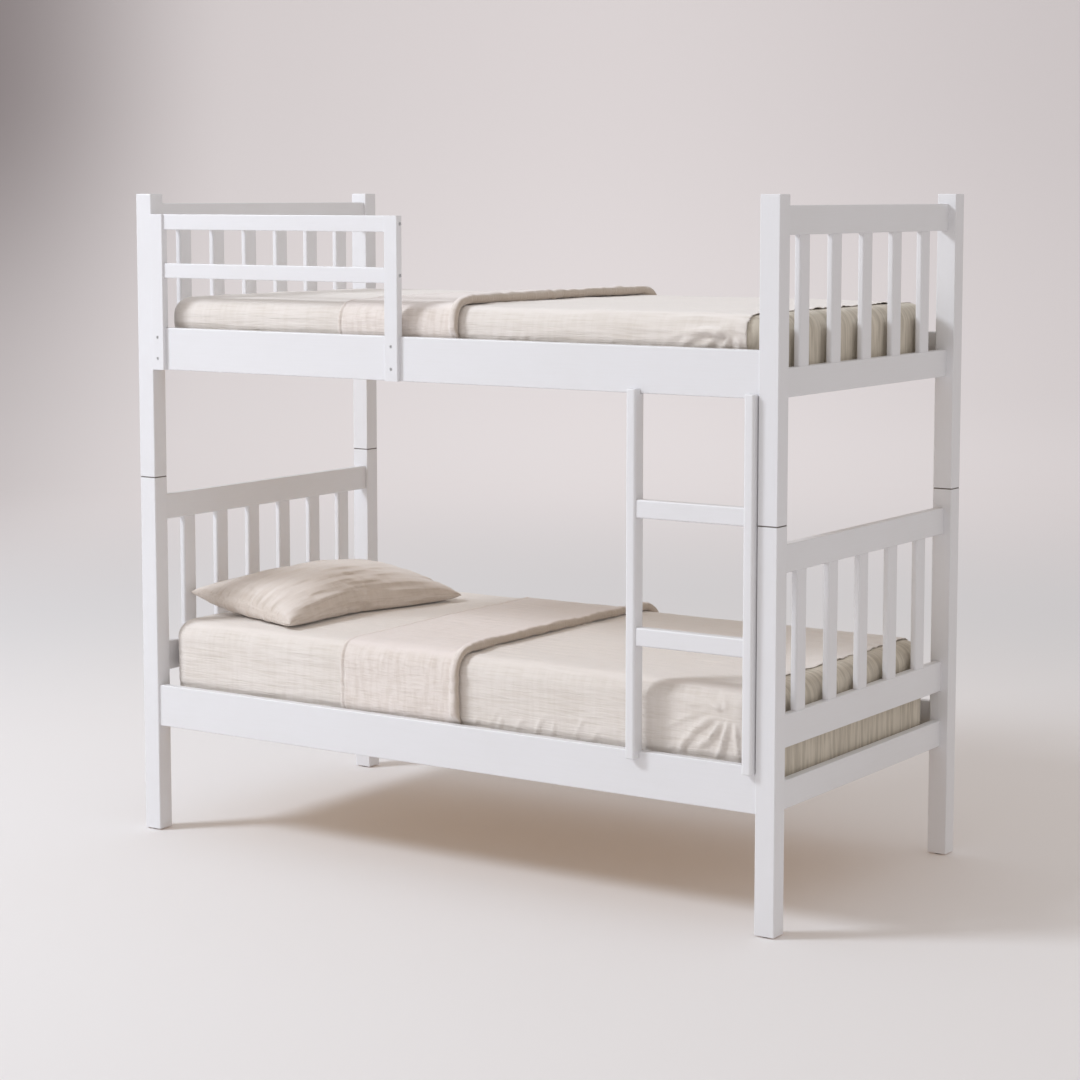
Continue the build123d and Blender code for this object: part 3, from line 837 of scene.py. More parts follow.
def box_grid(counts: Sequence[int]) -> tuple[Points, Points]:
    """A box from -1 to 1 whose faces are grids of quads.

    Args:
        counts: How many quads there are along each axis.

    Returns:
        The points and the quads.
    """
    all_points, all_quads, start = [], [], 0
    for axis, sign in itertools.product(range(3), (-1, 1)):
        first, second = (axis + 1) % 3, (axis + 2) % 3
        a, b = np.meshgrid(
            np.linspace(-1, 1, counts[first] + 1), np.linspace(-1, 1, counts[second] + 1), indexing="ij"
        )
        points = np.empty((*a.shape, 3))
        points[..., axis], points[..., first], points[..., second] = sign, a, b
        index = np.arange(a.size).reshape(a.shape) + start
        quads = np.stack([index[:-1, :-1], index[1:, :-1], index[1:, 1:], index[:-1, 1:]], -1).reshape(-1, 4)
        all_points.append(points.reshape(-1, 3))
        all_quads.append(quads if sign > 0 else quads[:, ::-1])
        start += a.size
    return join_points(np.concatenate(all_points), np.concatenate(all_quads))


def round_quarter(first: Points, second: Points) -> tuple[Points, Points]:
    """Moves places in a unit square into a quarter of a unit disc."""
    return first * np.sqrt(1 - second**2 / 2), second * np.sqrt(1 - first**2 / 2)


def round_slab(points: Points, half: Points, corner: float, top_edge: float, bottom_edge: float) -> Points:
    """Rounds the corners and edges of a slab around the origin.

    Args:
        points: Points on the slab's square-edged surface.
        half: Half of its length, width and height.
        corner: The radius of its upright corners.
        top_edge: The radius of its upper edge, at most that of the corners.
        bottom_edge: The radius of its lower edge, at most that of the corners.

    Returns:
        The rounded points.
    """
    rounded = points.copy()
    sign = np.where(points[:, :2] < 0, -1.0, 1.0)
    over = (np.abs(points[:, :2]) - (half[:2] - corner)) / corner
    inside = np.clip(over, 0, 1)
    disc = np.column_stack(round_quarter(inside[:, 0], inside[:, 1]))
    both = (over > 0).all(axis=1)
    plan = np.where(both[:, None], half[:2] - corner + corner * disc, np.abs(points[:, :2]))
    over = plan - (half[:2] - corner)
    reach = np.linalg.norm(np.maximum(over, 0), axis=1)
    depth_in = np.where(both, corner - reach, corner - over.max(axis=1))
    along = np.argmax(over, axis=1)
    outward = np.zeros_like(over)
    outward[np.arange(len(over)), along] = 1
    outward = np.where(both[:, None], np.maximum(over, 0) / np.maximum(reach, 1e-9)[:, None], outward)
    for edge, side in ((top_edge, 1), (bottom_edge, -1)):
        drop = half[2] - side * points[:, 2]
        near = (depth_in < edge) & (drop < edge)
        a, b = round_quarter(1 - depth_in / edge, 1 - drop / edge)
        shift = np.where(near, edge * (1 - a) - depth_in, 0)
        plan = plan - outward * shift[:, None]
        rounded[:, 2] = np.where(near, side * (half[2] - edge * (1 - b)), rounded[:, 2])
    rounded[:, :2] = plan * sign
    return rounded


@dataclass(frozen=True)
class Fold:
    """A raised crease on a side of the cloth, from one place to another, bowed in between."""

    start: Pair
    end: Pair
    bow: float
    width: float
    height: float
    hollow_away: float = 1.7  # of the hollow beside the crease, in widths
    hollow_share: float = 0.55  # its depth, as a share of the crease's height

    def raise_at(self, along: Points, up: Points) -> Points:
        """How far the crease lifts the cloth.

        Args:
            along: Places along the bed.
            up: Heights.

        Returns:
            One height for each place.
        """
        start, end = np.array(self.start), np.array(self.end)
        run = end - start
        length = np.linalg.norm(run)
        run = run / length
        offset = np.column_stack([along, up]) - start
        part = offset @ run / length
        side = offset @ np.array([-run[1], run[0]]) - self.bow * 4 * part * (1 - part)
        fade = smooth_step(part, -0.02, 0.25) * (1 - smooth_step(part, 0.7, 1.02))
        ridge = np.exp(-((side / self.width) ** 2))
        hollow = np.exp(-(((side + self.hollow_away * self.width) / self.width) ** 2))
        return self.height * fade * (ridge - self.hollow_share * hollow)


# ---------------------------------------------------------------- bedding
@dataclass
class Mattress:
    """A foam mattress in ribbed ticking, with the fitted sheet that is pulled over it."""

    tier: str
    body: str
    ticking: bpy.types.Material
    gauze: bpy.types.Material
    seed: int
    corner: float = 0.080
    top_edge: float = 0.046
    bottom_edge: float = 0.020
    grid: float = 0.010
    sheet_grid: float = 0.0055
    sheet_gap: float = 0.0024
    tuck_depth: float = 0.005  # how far the sides are pressed in behind the side rails
    tuck_fade: Stops = (-0.006, 0.014)  # heights above the rails' top, between which they come free
    press_fade: Stops = (-0.006, 0.012)  # the same for the creases that the rails press flat
    inset: float = 0.003  # how far inside its packed room the mattress lies
    crown: float = 0.004
    core_ribs: tuple[Triple, ...] = ((1.0, 0.016, 0.30), (0.5, 0.007, 0.2))
    rib_covered: float = 0.0003  # height of the ribs under the sheet
    rib_bare: float = 0.0012  # how much higher they are where the sheet is open
    open_from: float = 0.889  # where the sheet ends, towards the ladder end
    open_wander: float = 0.006
    hem_under: float = 0.090  # how far the sheet's hem lies under the mattress
    cloth_thickness: float = 0.0012
    crinkles: tuple[Triple, ...] = (
        (0.0011, 0.11, 0.012),
        (0.0007, 0.05, 0.0065),
        (0.0020, 0.28, 0.10),
    )  # each layer's height, length and width
    gathers: Triple = (0.0022, 0.5, 0.014)  # the same, near the open end
    gather_length: float = 0.05
    least_lift: float = -0.0008
    most_under_coverlet: float = 0.0008
    pressed_share: float = 0.75  # how much of the lift the side rails press flat
    rail_top: float = 0.0  # height of the side rails' top
    knot: Pair = (0.850, 0.012)  # where the fan is gathered along the bed, and its spread
    fan: tuple[tuple[float, float, float, float, float], ...] = (
        (0.700, -0.1, 0.018, 0.011, 0.0085),
        (0.742, 0.1, -0.010, 0.008, 0.0060),
        (0.772, -0.1, 0.008, 0.008, 0.0065),
        (0.806, -0.1, -0.008, 0.007, 0.0055),
        (0.838, -0.1, 0.006, 0.008, 0.0060),
        (0.874, -0.1, -0.006, 0.007, 0.0055),
        (0.716, 0.9, 0.010, 0.007, 0.0040),
        (0.764, 1.25, -0.006, 0.008, 0.0045),
        (0.815, 1.35, 0.004, 0.007, 0.0045),
        (0.660, 0.35, 0.014, 0.008, 0.0040),
    )  # each fold's far end along the bed and up the side, bow, width and height
    rail_puckers: int = 34
    puckers_from: float = -0.9
    puckers_span: float = 1.78
    rear_shift: float = 0.013  # of the creases at the rear, along the bed
    box: tuple[Vector, Vector] = field(init=False)

    def __post_init__(self) -> None:
        """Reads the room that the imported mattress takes."""
        self.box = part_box(f"{self.tier}_mattress")

    @property
    def half(self) -> Points:
        """Half of the mattress's length, width and height."""
        low, high = self.box
        return np.array(high - low) / 2

    @property
    def middle(self) -> Points:
        """The middle of the mattress."""
        low, high = self.box
        return np.array(high + low) / 2

    def tuck(self, heights: Points) -> Points:
        """How far the sides are pressed in at these heights."""
        return self.tuck_depth * (1 - smooth_step(heights, *(self.rail_top + fade for fade in self.tuck_fade)))

    def slab(self, grow: float, grid: float) -> tuple[Points, Points, Points]:
        """The rounded slab, its quads and its cloth map.

        Args:
            grow: How much further out it lies than the mattress.
            grid: The size of a quad.

        Returns:
            The points, the quads and the places on the flat cloth.
        """
        half = self.half - self.inset + grow
        counts = [max(4, round(2 * size / grid)) for size in half]
        unit, quads = box_grid(counts)
        square = unit * half
        points = round_slab(square, half, self.corner, self.top_edge, self.bottom_edge)
        part = np.clip(1 - (points[:, :2] / half[:2]) ** 2, 0, 1)
        top = smooth_step(square[:, 2], half[2] * 0.5, half[2])
        points[:, 2] += self.crown * top * part[:, 0] ** 0.25 * part[:, 1] ** 0.5 - self.crown
        at_side = smooth_step(np.abs(points[:, 1]), half[1] - 0.06, half[1] - 0.01)
        points[:, 1] -= np.sign(points[:, 1]) * at_side * self.tuck(points[:, 2] + self.middle[2])
        flat = self.flat_places(square, half)
        return points + self.middle, quads, flat

    def flat_places(self, square: Points, half: Points) -> Points:
        """Places on the flat cloth: along the bed, and round it from the middle line.

        Args:
            square: Points on the square-edged slab, around the origin.
            half: Half of its length, width and height.

        Returns:
            One row for each point.
        """
        drop = half[2] - square[:, 2]
        on_end = np.abs(square[:, 0]) > half[0] - 1e-6
        on_side = np.abs(square[:, 1]) > half[1] - 1e-6
        along = np.where(on_end & ~on_side, square[:, 0] + np.sign(square[:, 0]) * drop, square[:, 0])
        across = np.where(on_side, square[:, 1] + np.sign(square[:, 1]) * drop, square[:, 1])
        return np.column_stack([along, across, np.zeros(len(square))])

    def make_core(self) -> bpy.types.Object:
        """Makes the mattress in its ticking, with uneven ribs down its ends and sides.

        Returns:
            The mattress.
        """
        points, quads, _ = self.slab(0.0, self.grid)
        local = points - self.middle
        round_it = np.where(np.abs(local[:, 0]) > self.half[0] - self.corner, local[:, 1], local[:, 0])
        flat = np.column_stack([round_it, local[:, 2], np.zeros(len(points))])
        ribs = cloth_relief(flat, self.core_ribs, self.seed + 1)
        normals = point_normals(points, quads)
        side = 1 - np.abs(normals[:, 2])
        bare = smooth_step(points[:, 0], self.open_from - 0.01, self.open_from + 0.01)
        points += normals * (ribs * side * (self.rib_covered + self.rib_bare * bare))[:, None]
        core = make_piece(f"{self.tier}_mattress_core", points, quads, self.ticking, flat)
        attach(core, self.body)
        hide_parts(f"{self.tier}_mattress")
        return core

    def folds(self) -> list[Fold]:
        """The creases that fan out from a gathered place near the ladder end, and puckers along the rail.

        Returns:
            The creases of one side.
        """
        rng = np.random.default_rng(self.seed)
        tall = self.box[1].z - self.top_edge - self.rail_top
        made = []
        knot_x, spread = self.knot
        for along, share, bow, width, height in self.fan:
            knot = (knot_x + rng.uniform(-spread, spread), self.rail_top + rng.uniform(0.75, 1.0) * tall)
            foot = (along + rng.uniform(-0.006, 0.006), self.rail_top + share * tall)
            made.append(Fold(foot, knot, bow, width, height))
        for number in range(self.rail_puckers):
            x = self.puckers_from + self.puckers_span * number / (self.rail_puckers - 1)
            x += rng.uniform(-0.02, 0.02)
            foot = (x, self.rail_top - 0.012)
            lean = rng.uniform(0.01, 0.05)
            head = (x + lean, self.rail_top + rng.uniform(0.15, 0.5) * tall)
            strength = 0.3 + 0.7 * float(smooth_step(np.array(x), -0.3, 0.3))
            bow, width = rng.uniform(-0.008, 0.008), rng.uniform(0.005, 0.009)
            made.append(Fold(foot, head, bow, width, strength * rng.uniform(0.002, 0.0045)))
        return made

    def sheet_lift(self, points: Points, normals: Points, flat: Points) -> Points:
        """How far the sheet's creases lift it off its even shape.

        Args:
            points: The points of the even shape.
            normals: Its normals.
            flat: The points' places on the flat cloth.

        Returns:
            One height for each point.
        """
        side = np.clip(1 - np.abs(normals[:, 2]), 0, 1)
        lift = cloth_relief(flat, self.crinkles, self.seed + 3)
        folds = self.folds()
        for number, wall in enumerate((-1, 1)):
            here = np.where(np.sign(points[:, 1] - self.middle[1]) == wall, side, 0)
            for fold in folds:
                lift += here * fold.raise_at(points[:, 0] + self.rear_shift * number, points[:, 2])
        gathered = smooth_step(points[:, 0], self.open_from - self.gather_length, self.open_from)
        lift += gathered * cloth_relief(flat, [self.gathers], self.seed + 6)
        band_low, band_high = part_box(f"{self.tier}_coverlet")
        covered = (points[:, 0] > band_low.x + 0.01) & (points[:, 0] < band_high.x - 0.02)
        lift = np.where(covered, np.minimum(lift, self.most_under_coverlet), lift)
        lift = np.maximum(lift, self.least_lift)
        below = 1 - smooth_step(points[:, 2], *(self.rail_top + fade for fade in self.press_fade))
        return np.where(lift > 0, lift * (1 - self.pressed_share * below), lift)

    def make_sheet(self) -> bpy.types.Object:
        """Makes the fitted sheet: crinkled along the bed, creased where it is tucked in.


        Returns:
            The sheet.
        """
        points, quads, flat = self.slab(self.sheet_gap, self.sheet_grid)
        normals = point_normals(points, quads)
        points = points + normals * self.sheet_lift(points, normals, flat)[:, None]
        edge = self.open_from + self.open_wander * cloth_noise(flat, 9.0, 0.05, self.seed + 7)
        under = self.half[:2] - np.abs(points[:, :2] - self.middle[:2])
        hidden = (points[:, 2] < self.box[0].z + 0.004) & (under.min(axis=1) > self.hem_under)
        drop = (points[:, 0] > edge) | hidden
        kept = quads[~drop[quads].any(axis=1)]
        used, faces = np.unique(kept, return_inverse=True)
        sheet = make_piece(
            f"{self.tier}_fitted_sheet", points[used], faces.reshape(-1, 4), self.gauze, flat[used]
        )
        shell = sheet.modifiers.new("cloth", "SOLIDIFY")
        shell.thickness, shell.offset = self.cloth_thickness, -1.0
        apply_modifier(sheet, shell)
        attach(sheet, self.body)
        down_and_under = 2 * self.half[2] + self.hem_under
        length = self.open_from + self.half[0] + down_and_under
        width = 2 * (self.half[1] + down_and_under)
        area = length * width - 2 * down_and_under**2
        return sheet


@dataclass
class Coverlet:
    """A doubled layer of gauze folded over the bed, with a rolled hem on its ladder side."""

    mattress: Mattress
    gauze: bpy.types.Material
    layer: float = 0.0050
    roll: float = 0.0125  # radius of the rolled hem
    stitched_edge: tuple[Pair, ...] = (
        (0.0, 0.0),
        (0.0, 0.0045),
        (0.004, 0.006),
        (0.009, 0.005),
        (0.0115, 0.002),
        (0.014, 0.005),
    )  # places in from the plain edge, and heights, round the groove of its line of stitches
    stitched_width: float = 0.021
    clear: float = 0.0018  # how far above the sheet's even shape it lies
    slant: float = 0.030  # how much further along the bed the hem lies at the rear
    slant_about: float = 0.35  # share of the way round where the slant leaves it in place
    wanders: tuple[Pair, ...] = ((0.007, 0.22), (0.0025, 0.05))  # of the hem: how far, how often
    pressed: float = 0.0045  # thickness where the side rails press it
    crinkles: tuple[Triple, ...] = (
        (0.0010, 0.08, 0.012),
        (0.0007, 0.010, 0.06),
        (0.0020, 0.20, 0.09),
    )  # each layer's height, length and width
    pinches: Triple = (0.0016, 0.5, 0.017)  # the same, along the rolled hem
    deepest: float = -0.0025
    roll_foot: float = 1.3  # where the roll begins, in radii from its middle
    roll_turn: tuple[int, int, int] = (150, -100, 15)  # first and last angle of the roll, and how many
    tuck_fade: Stops = (-0.004, 0.030)  # heights above the rails' top, between which it comes free
    step: float = 0.006

    def outline(self, left: float, right: float) -> Points:
        """Half of the layer's cross-section: places along the bed and heights above the sheet.

        Args:
            left: The plain edge.
            right: The outer side of the rolled hem.

        Returns:
            The closed outline, one row for each place.
        """
        middle = right - self.roll
        flat_run = np.arange(left + self.stitched_width, middle - self.roll * self.roll_foot, self.step)
        rise = [(x, self.layer) for x in flat_run]
        angles = np.radians(np.linspace(*self.roll_turn))
        bulge = [(middle + self.roll * math.cos(a), self.roll * (1 + math.sin(a))) for a in angles]
        back = [(x, 0.0) for x in flat_run[::-1]]
        start = [(left + x, height) for x, height in self.stitched_edge]
        return np.array(start + rise + bulge + back)

    def girth(self) -> tuple[Points, Points, Points]:
        """The path round the bed, from the front hem over the top to the rear hem.

        Returns:
            Places across the bed and heights, the outward directions, and the length so far.
        """
        bed = self.mattress
        half = bed.half + bed.sheet_gap - bed.inset + self.clear
        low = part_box(f"{bed.tier}_coverlet")[0].z
        top = bed.middle[2] + half[2] - bed.crown
        r = bed.top_edge
        heights = np.arange(low, top - r, self.step)
        upright = [((-half[1] + inward, z), (-1.0, 0.0)) for z, inward in zip(heights, bed.tuck(heights))]
        angles = np.radians(np.linspace(180, 90, 14))
        bend = [
            ((-half[1] + r + r * math.cos(a), top - r + r * math.sin(a)), (math.cos(a), math.sin(a)))
            for a in angles
        ]
        crown = [
            ((y, top + bed.crown * math.sqrt(1 - (y / half[1]) ** 2)), (0.0, 1.0))
            for y in np.arange(-half[1] + r + self.step, -self.step / 2, self.step)
        ]
        front = upright + bend + crown
        rear = [((-y, z), (-ny, nz)) for (y, z), (ny, nz) in front[::-1]]
        path = np.array([place for place, _ in front + rear])
        outward = np.array([direction for _, direction in front + rear])
        steps = np.linalg.norm(np.diff(path, axis=0), axis=1)
        return path, outward, np.concatenate([[0], np.cumsum(steps)])

    def make(self, sheet: bpy.types.Object) -> bpy.types.Object:
        """Sweeps the cross-section round the bed and crinkles it.

        Args:
            sheet: The sheet that it lies on; not used.

        Returns:
            The coverlet.
        """
        bed = self.mattress
        low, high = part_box(f"{bed.tier}_coverlet")
        width = high.x - low.x
        seed = bed.seed + 20
        outline = self.outline(low.x, high.x)
        path, outward, run = self.girth()
        rows, columns = len(path), len(outline)
        wander = self.slant * (run / run[-1] - self.slant_about)
        for number, (reach, every) in enumerate(self.wanders):
            wander += reach * lattice_noise(np.column_stack([run / every, 0 * run, 0 * run]), seed + number)
        tucked = 1 - smooth_step(path[:, 1], *(bed.rail_top + fade for fade in self.tuck_fade))
        share = (outline[:, 0] - low.x) / width
        x = outline[None, :, 0] + wander[:, None] * share[None, :] ** 2
        flattened = self.pressed / np.maximum(outline[None, :, 1], self.pressed)
        height = outline[None, :, 1] * (1 - tucked[:, None] * (1 - flattened))
        # painted shade: marks the lower side of the rolled hem, which the material darkens
        low_on_roll = smooth_step(-outline[:, 1] / (2 * self.roll), -0.98, -0.75)
        roll_shade_mask = np.where(share > (width - self.roll) / width, low_on_roll, 0)
        flat = np.stack(np.broadcast_arrays(x, run[:, None] - run[-1] / 2, roll_shade_mask[None, :]), -1).reshape(-1, 3)
        in_roll = np.tile(smooth_step(share, 0.90, 0.95), rows)
        crinkle = cloth_relief(flat, self.crinkles, seed + 2)
        pinch = cloth_relief(flat, [self.pinches], seed + 5) * in_roll
        free = 1 - np.repeat(tucked, columns)
        lift = np.where((height > 1e-6).reshape(-1), (crinkle + pinch) * free, 0)
        depth = height.reshape(-1) + np.maximum(lift, self.deepest)
        base = np.repeat(path, columns, axis=0)
        direction = np.repeat(outward, columns, axis=0)
        points = np.column_stack([x.reshape(-1), base + direction * depth[:, None]])
        index = np.arange(rows * columns).reshape(rows, columns)
        after = np.roll(index, -1, axis=1)
        quads = np.stack([index[:-1], index[1:], after[1:], after[:-1]], -1).reshape(-1, 4)
        ends = [index[0].tolist(), index[-1][::-1].tolist()]
        piece = make_piece(f"{bed.tier}_coverlet_layer", points, quads.tolist() + ends, self.gauze, flat)
        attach(piece, bed.body)
        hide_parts(f"{bed.tier}_coverlet")
        return piece


@dataclass
class Pillow:
    """A stuffed pillow whose cover is sewn from two panels, blown up and then laid down."""

    gauze: bpy.types.Material
    width: float = 0.44
    length: float = 0.72
    grid: float = 0.009
    lens: float = 0.060  # half of the height that it starts from
    middle: Pair = (-0.705, -0.045)
    turn: float = math.radians(-7.5)
    tilt: float = math.radians(7.0)
    seam_rise: float = 0.040  # of the seam above the mattress, in the middle
    crest: float = 0.128  # of the top above the mattress
    steps: int = 28
    pressure: float = 3.2
    settled_share: float = 0.45  # the rest comes from the smooth plump shape
    panel_gap: float = 0.001  # from the middle to each flat panel
    drawn_in: Pair = (0.09, 0.05)  # how far the long and the short edges pull in
    laid: Pair = (0.405, 0.690)  # width and length once it is stuffed
    give: float = 0.006  # over what height its underside turns flat on the mattress
    rest_gap: float = 0.001
    even_edge: float = 0.02  # width of the unwrinkled edge
    wrinkles: tuple[Triple, ...] = ((0.0034, 0.17, 0.020), (0.0016, 0.06, 0.011))
    seam_at: float = 0.03  # the cover's cross seam, from the middle of its length
    seam_depth: float = 0.0014
    seam_half: float = 0.0045
    seed: int = 71

    def panels(self) -> tuple[Points, Points, Points]:
        """Two flat panels, a hair apart, joined round their edge.

        Returns:
            The points, the quads and the places on the flat cloth.
        """
        counts = [round(self.width / self.grid), round(self.length / self.grid), 1]
        unit, quads = box_grid(counts)
        rim = (np.abs(unit[:, :2]) > 1 - 1e-6).any(axis=1)
        height = np.where(rim, 0.0, unit[:, 2] * self.panel_gap)
        points = np.column_stack([unit[:, 0] * self.width / 2, unit[:, 1] * self.length / 2, height])
        points, quads = join_points(points, quads)
        flat_faces = (quads[:, 0] == quads[:, 1]) | (quads[:, 1] == quads[:, 2]) | (quads[:, 0] == quads[:, 3])
        flat = np.column_stack([points[:, 1], points[:, 0], np.sign(np.round(points[:, 2], 6))])
        return points, quads[~flat_faces], flat

    def plump(self, flat: Points) -> Points:
        """Where the points of the flat panels lie on a smooth plump pillow.

        Args:
            flat: The points of the flat panels.

        Returns:
            The points with the panels apart and the edges drawn in between the corners.
        """
        part = 1 - (flat[:, :2] / [self.width / 2, self.length / 2]) ** 2
        rise = np.sign(flat[:, 2]) * self.lens * np.prod(np.clip(part, 0, 1), axis=1) ** 0.45
        drawn = flat[:, :2] * (1 - np.array(self.drawn_in) * part[:, ::-1])
        return np.column_stack([drawn, rise])

    def blow_up(self, piece: bpy.types.Object) -> None:
        """Lets the stuffed cover settle as cloth that keeps the sizes of its flat panels.

        Args:
            piece: The two flat panels, which end up stuffed.
        """
        flat = read_points(piece)
        rest = piece.shape_key_add(name="flat")
        start = piece.shape_key_add(name="plump")
        start.data.foreach_set("co", self.plump(flat).astype(np.float32).ravel())
        start.value = 1.0
        cloth = piece.modifiers.new("stuffing", "CLOTH")
        settings = cloth.settings
        settings.rest_shape_key = rest
        settings.quality = 6
        settings.mass = 0.2
        settings.tension_stiffness = 18
        settings.compression_stiffness = 18
        settings.shear_stiffness = 8
        settings.bending_stiffness = 0.35
        settings.use_pressure = True
        settings.uniform_pressure_force = self.pressure
        settings.effector_weights.gravity = 0.0
        cloth.collision_settings.use_collision = False
        scene = bpy.context.scene
        cloth.point_cache.frame_start, cloth.point_cache.frame_end = 1, self.steps
        for frame_number in range(1, self.steps + 1):
            scene.frame_set(frame_number)
        blown = piece.evaluated_get(bpy.context.evaluated_depsgraph_get())
        settled = read_points(blown)
        piece.modifiers.remove(cloth)
        piece.shape_key_clear()
        smooth = self.plump(flat)
        smooth *= np.ptp(settled, axis=0) / np.ptp(smooth, axis=0)
        write_points(piece, self.settled_share * settled + (1 - self.settled_share) * smooth)
        scene.frame_set(1)

    def lay_down(self, points: Points) -> Points:
        """Sizes the pillow, turns and tilts it, and lets its underside rest on the mattress.

        Args:
            points: The blown-up pillow, around the origin.

        Returns:
            The points in place.
        """
        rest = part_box("pillow")[0].z + self.rest_gap
        size = np.ptp(points, axis=0)
        points = points * [self.laid[0] / size[0], self.laid[1] / size[1], 1.0]
        points[:, 2] *= (self.crest - self.seam_rise) / points[:, 2].max()
        c, s = math.cos(self.tilt), math.sin(self.tilt)
        points[:, 0], points[:, 2] = points[:, 0] * c + points[:, 2] * s, points[:, 2] * c - points[:, 0] * s
        c, s = math.cos(self.turn), math.sin(self.turn)
        points[:, 0], points[:, 1] = points[:, 0] * c - points[:, 1] * s, points[:, 0] * s + points[:, 1] * c
        points[:, :2] += self.middle
        above = points[:, 2] + self.seam_rise
        points[:, 2] = rest + self.give * np.logaddexp(0, above / self.give)
        return points

    def make(self) -> bpy.types.Object:
        """Makes the pillow.

        Returns:
            The pillow.
        """
        points, quads, flat = self.panels()
        piece = make_piece("pillow_cover", points, quads, self.gauze, flat)
        self.blow_up(piece)
        finer = piece.modifiers.new("finer", "SUBSURF")
        finer.levels = finer.render_levels = 1
        apply_modifier(piece, finer)
        points, normals = read_points(piece), read_rows(piece.data.vertices, "normal")
        flat = read_rows(piece.data.attributes[CLOTH_MAP].data, "vector")
        lift = cloth_relief(flat, self.wrinkles, self.seed)
        lift -= self.seam_depth * np.exp(-(((flat[:, 0] - self.seam_at) / self.seam_half) ** 2))
        to_edge = np.minimum(self.width / 2 - np.abs(flat[:, 1]), self.length / 2 - np.abs(flat[:, 0]))
        points += normals * (lift * smooth_step(to_edge, 0, self.even_edge))[:, None]
        write_points(piece, self.lay_down(points))
        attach(piece, "pillow")
        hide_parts("pillow")
        return piece


# ---------------------------------------------------------------- woodwork and fittings
@dataclass
class Woodwork:
    """The bed's boards, posts and fittings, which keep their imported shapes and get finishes."""

    nodes: Mapping[str, bpy.types.Object]
    pine: tuple[Colour, Colour] = ((0.74, 0.56, 0.35), (0.52, 0.33, 0.16))  # early wood, late wood
    beech: tuple[Colour, Colour] = ((0.66, 0.46, 0.29), (0.50, 0.32, 0.19))
    finishes: dict[str, bpy.types.Material] = field(default_factory=dict)

    def make_finishes(self) -> None:
        """Makes one material for each finish and direction."""
        joint_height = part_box("lower_post_front_left")[1].z
        self.finishes["lacquer_post"] = Lacquer(Run.UPRIGHT, joint_height=joint_height).make()
        for run in Run:
            pine = BareWood("bare_pine", run, *self.pine, rings=46.0, knots=0.8)
            beech = BareWood("beech_dowel", run, *self.beech, rings=160.0, knots=0.0)
            self.finishes[f"lacquer_{run.name}"] = Lacquer(run).make()
            self.finishes[f"pine_{run.name}"] = pine.make()
            self.finishes[f"beech_{run.name}"] = beech.make()
        self.finishes["steel"] = Steel().make()
        self.finishes["nylon"] = Nylon().make()

    @staticmethod
    def finish_of(node: str) -> str:
        """The finish of a node and the direction of its fibres, from its name.

        Args:
            node: The node's name.

        Returns:
            The name of its finish.
        """
        if "dowels" in node:
            return f"beech_{(Run.LONG if 'rung' in node else Run.ACROSS).name}"
        if "base_slats" in node:
            return f"pine_{Run.ACROSS.name}"
        if "ledger" in node:
            return f"pine_{Run.LONG.name}"
        if node == "floor_glides":
            return "nylon"
        if node.endswith(("screws", "bolts", "pins", "hooks", "plates")):
            return "steel"
        if "_post_" in node:
            return "lacquer_post"
        if "stile" in node or node.endswith("end_slats"):
            return f"lacquer_{Run.UPRIGHT.name}"
        if "_end_" in node:
            return f"lacquer_{Run.ACROSS.name}"
        return f"lacquer_{Run.LONG.name}"

    def dress(self) -> None:
        """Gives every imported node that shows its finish."""
        self.make_finishes()
        for name, node in self.nodes.items():
            if node.hide_render:
                continue
            finish = self.finish_of(name)
            node.data.materials.clear()
            node.data.materials.append(self.finishes[finish])
            log.info("%s in %s", name, finish)


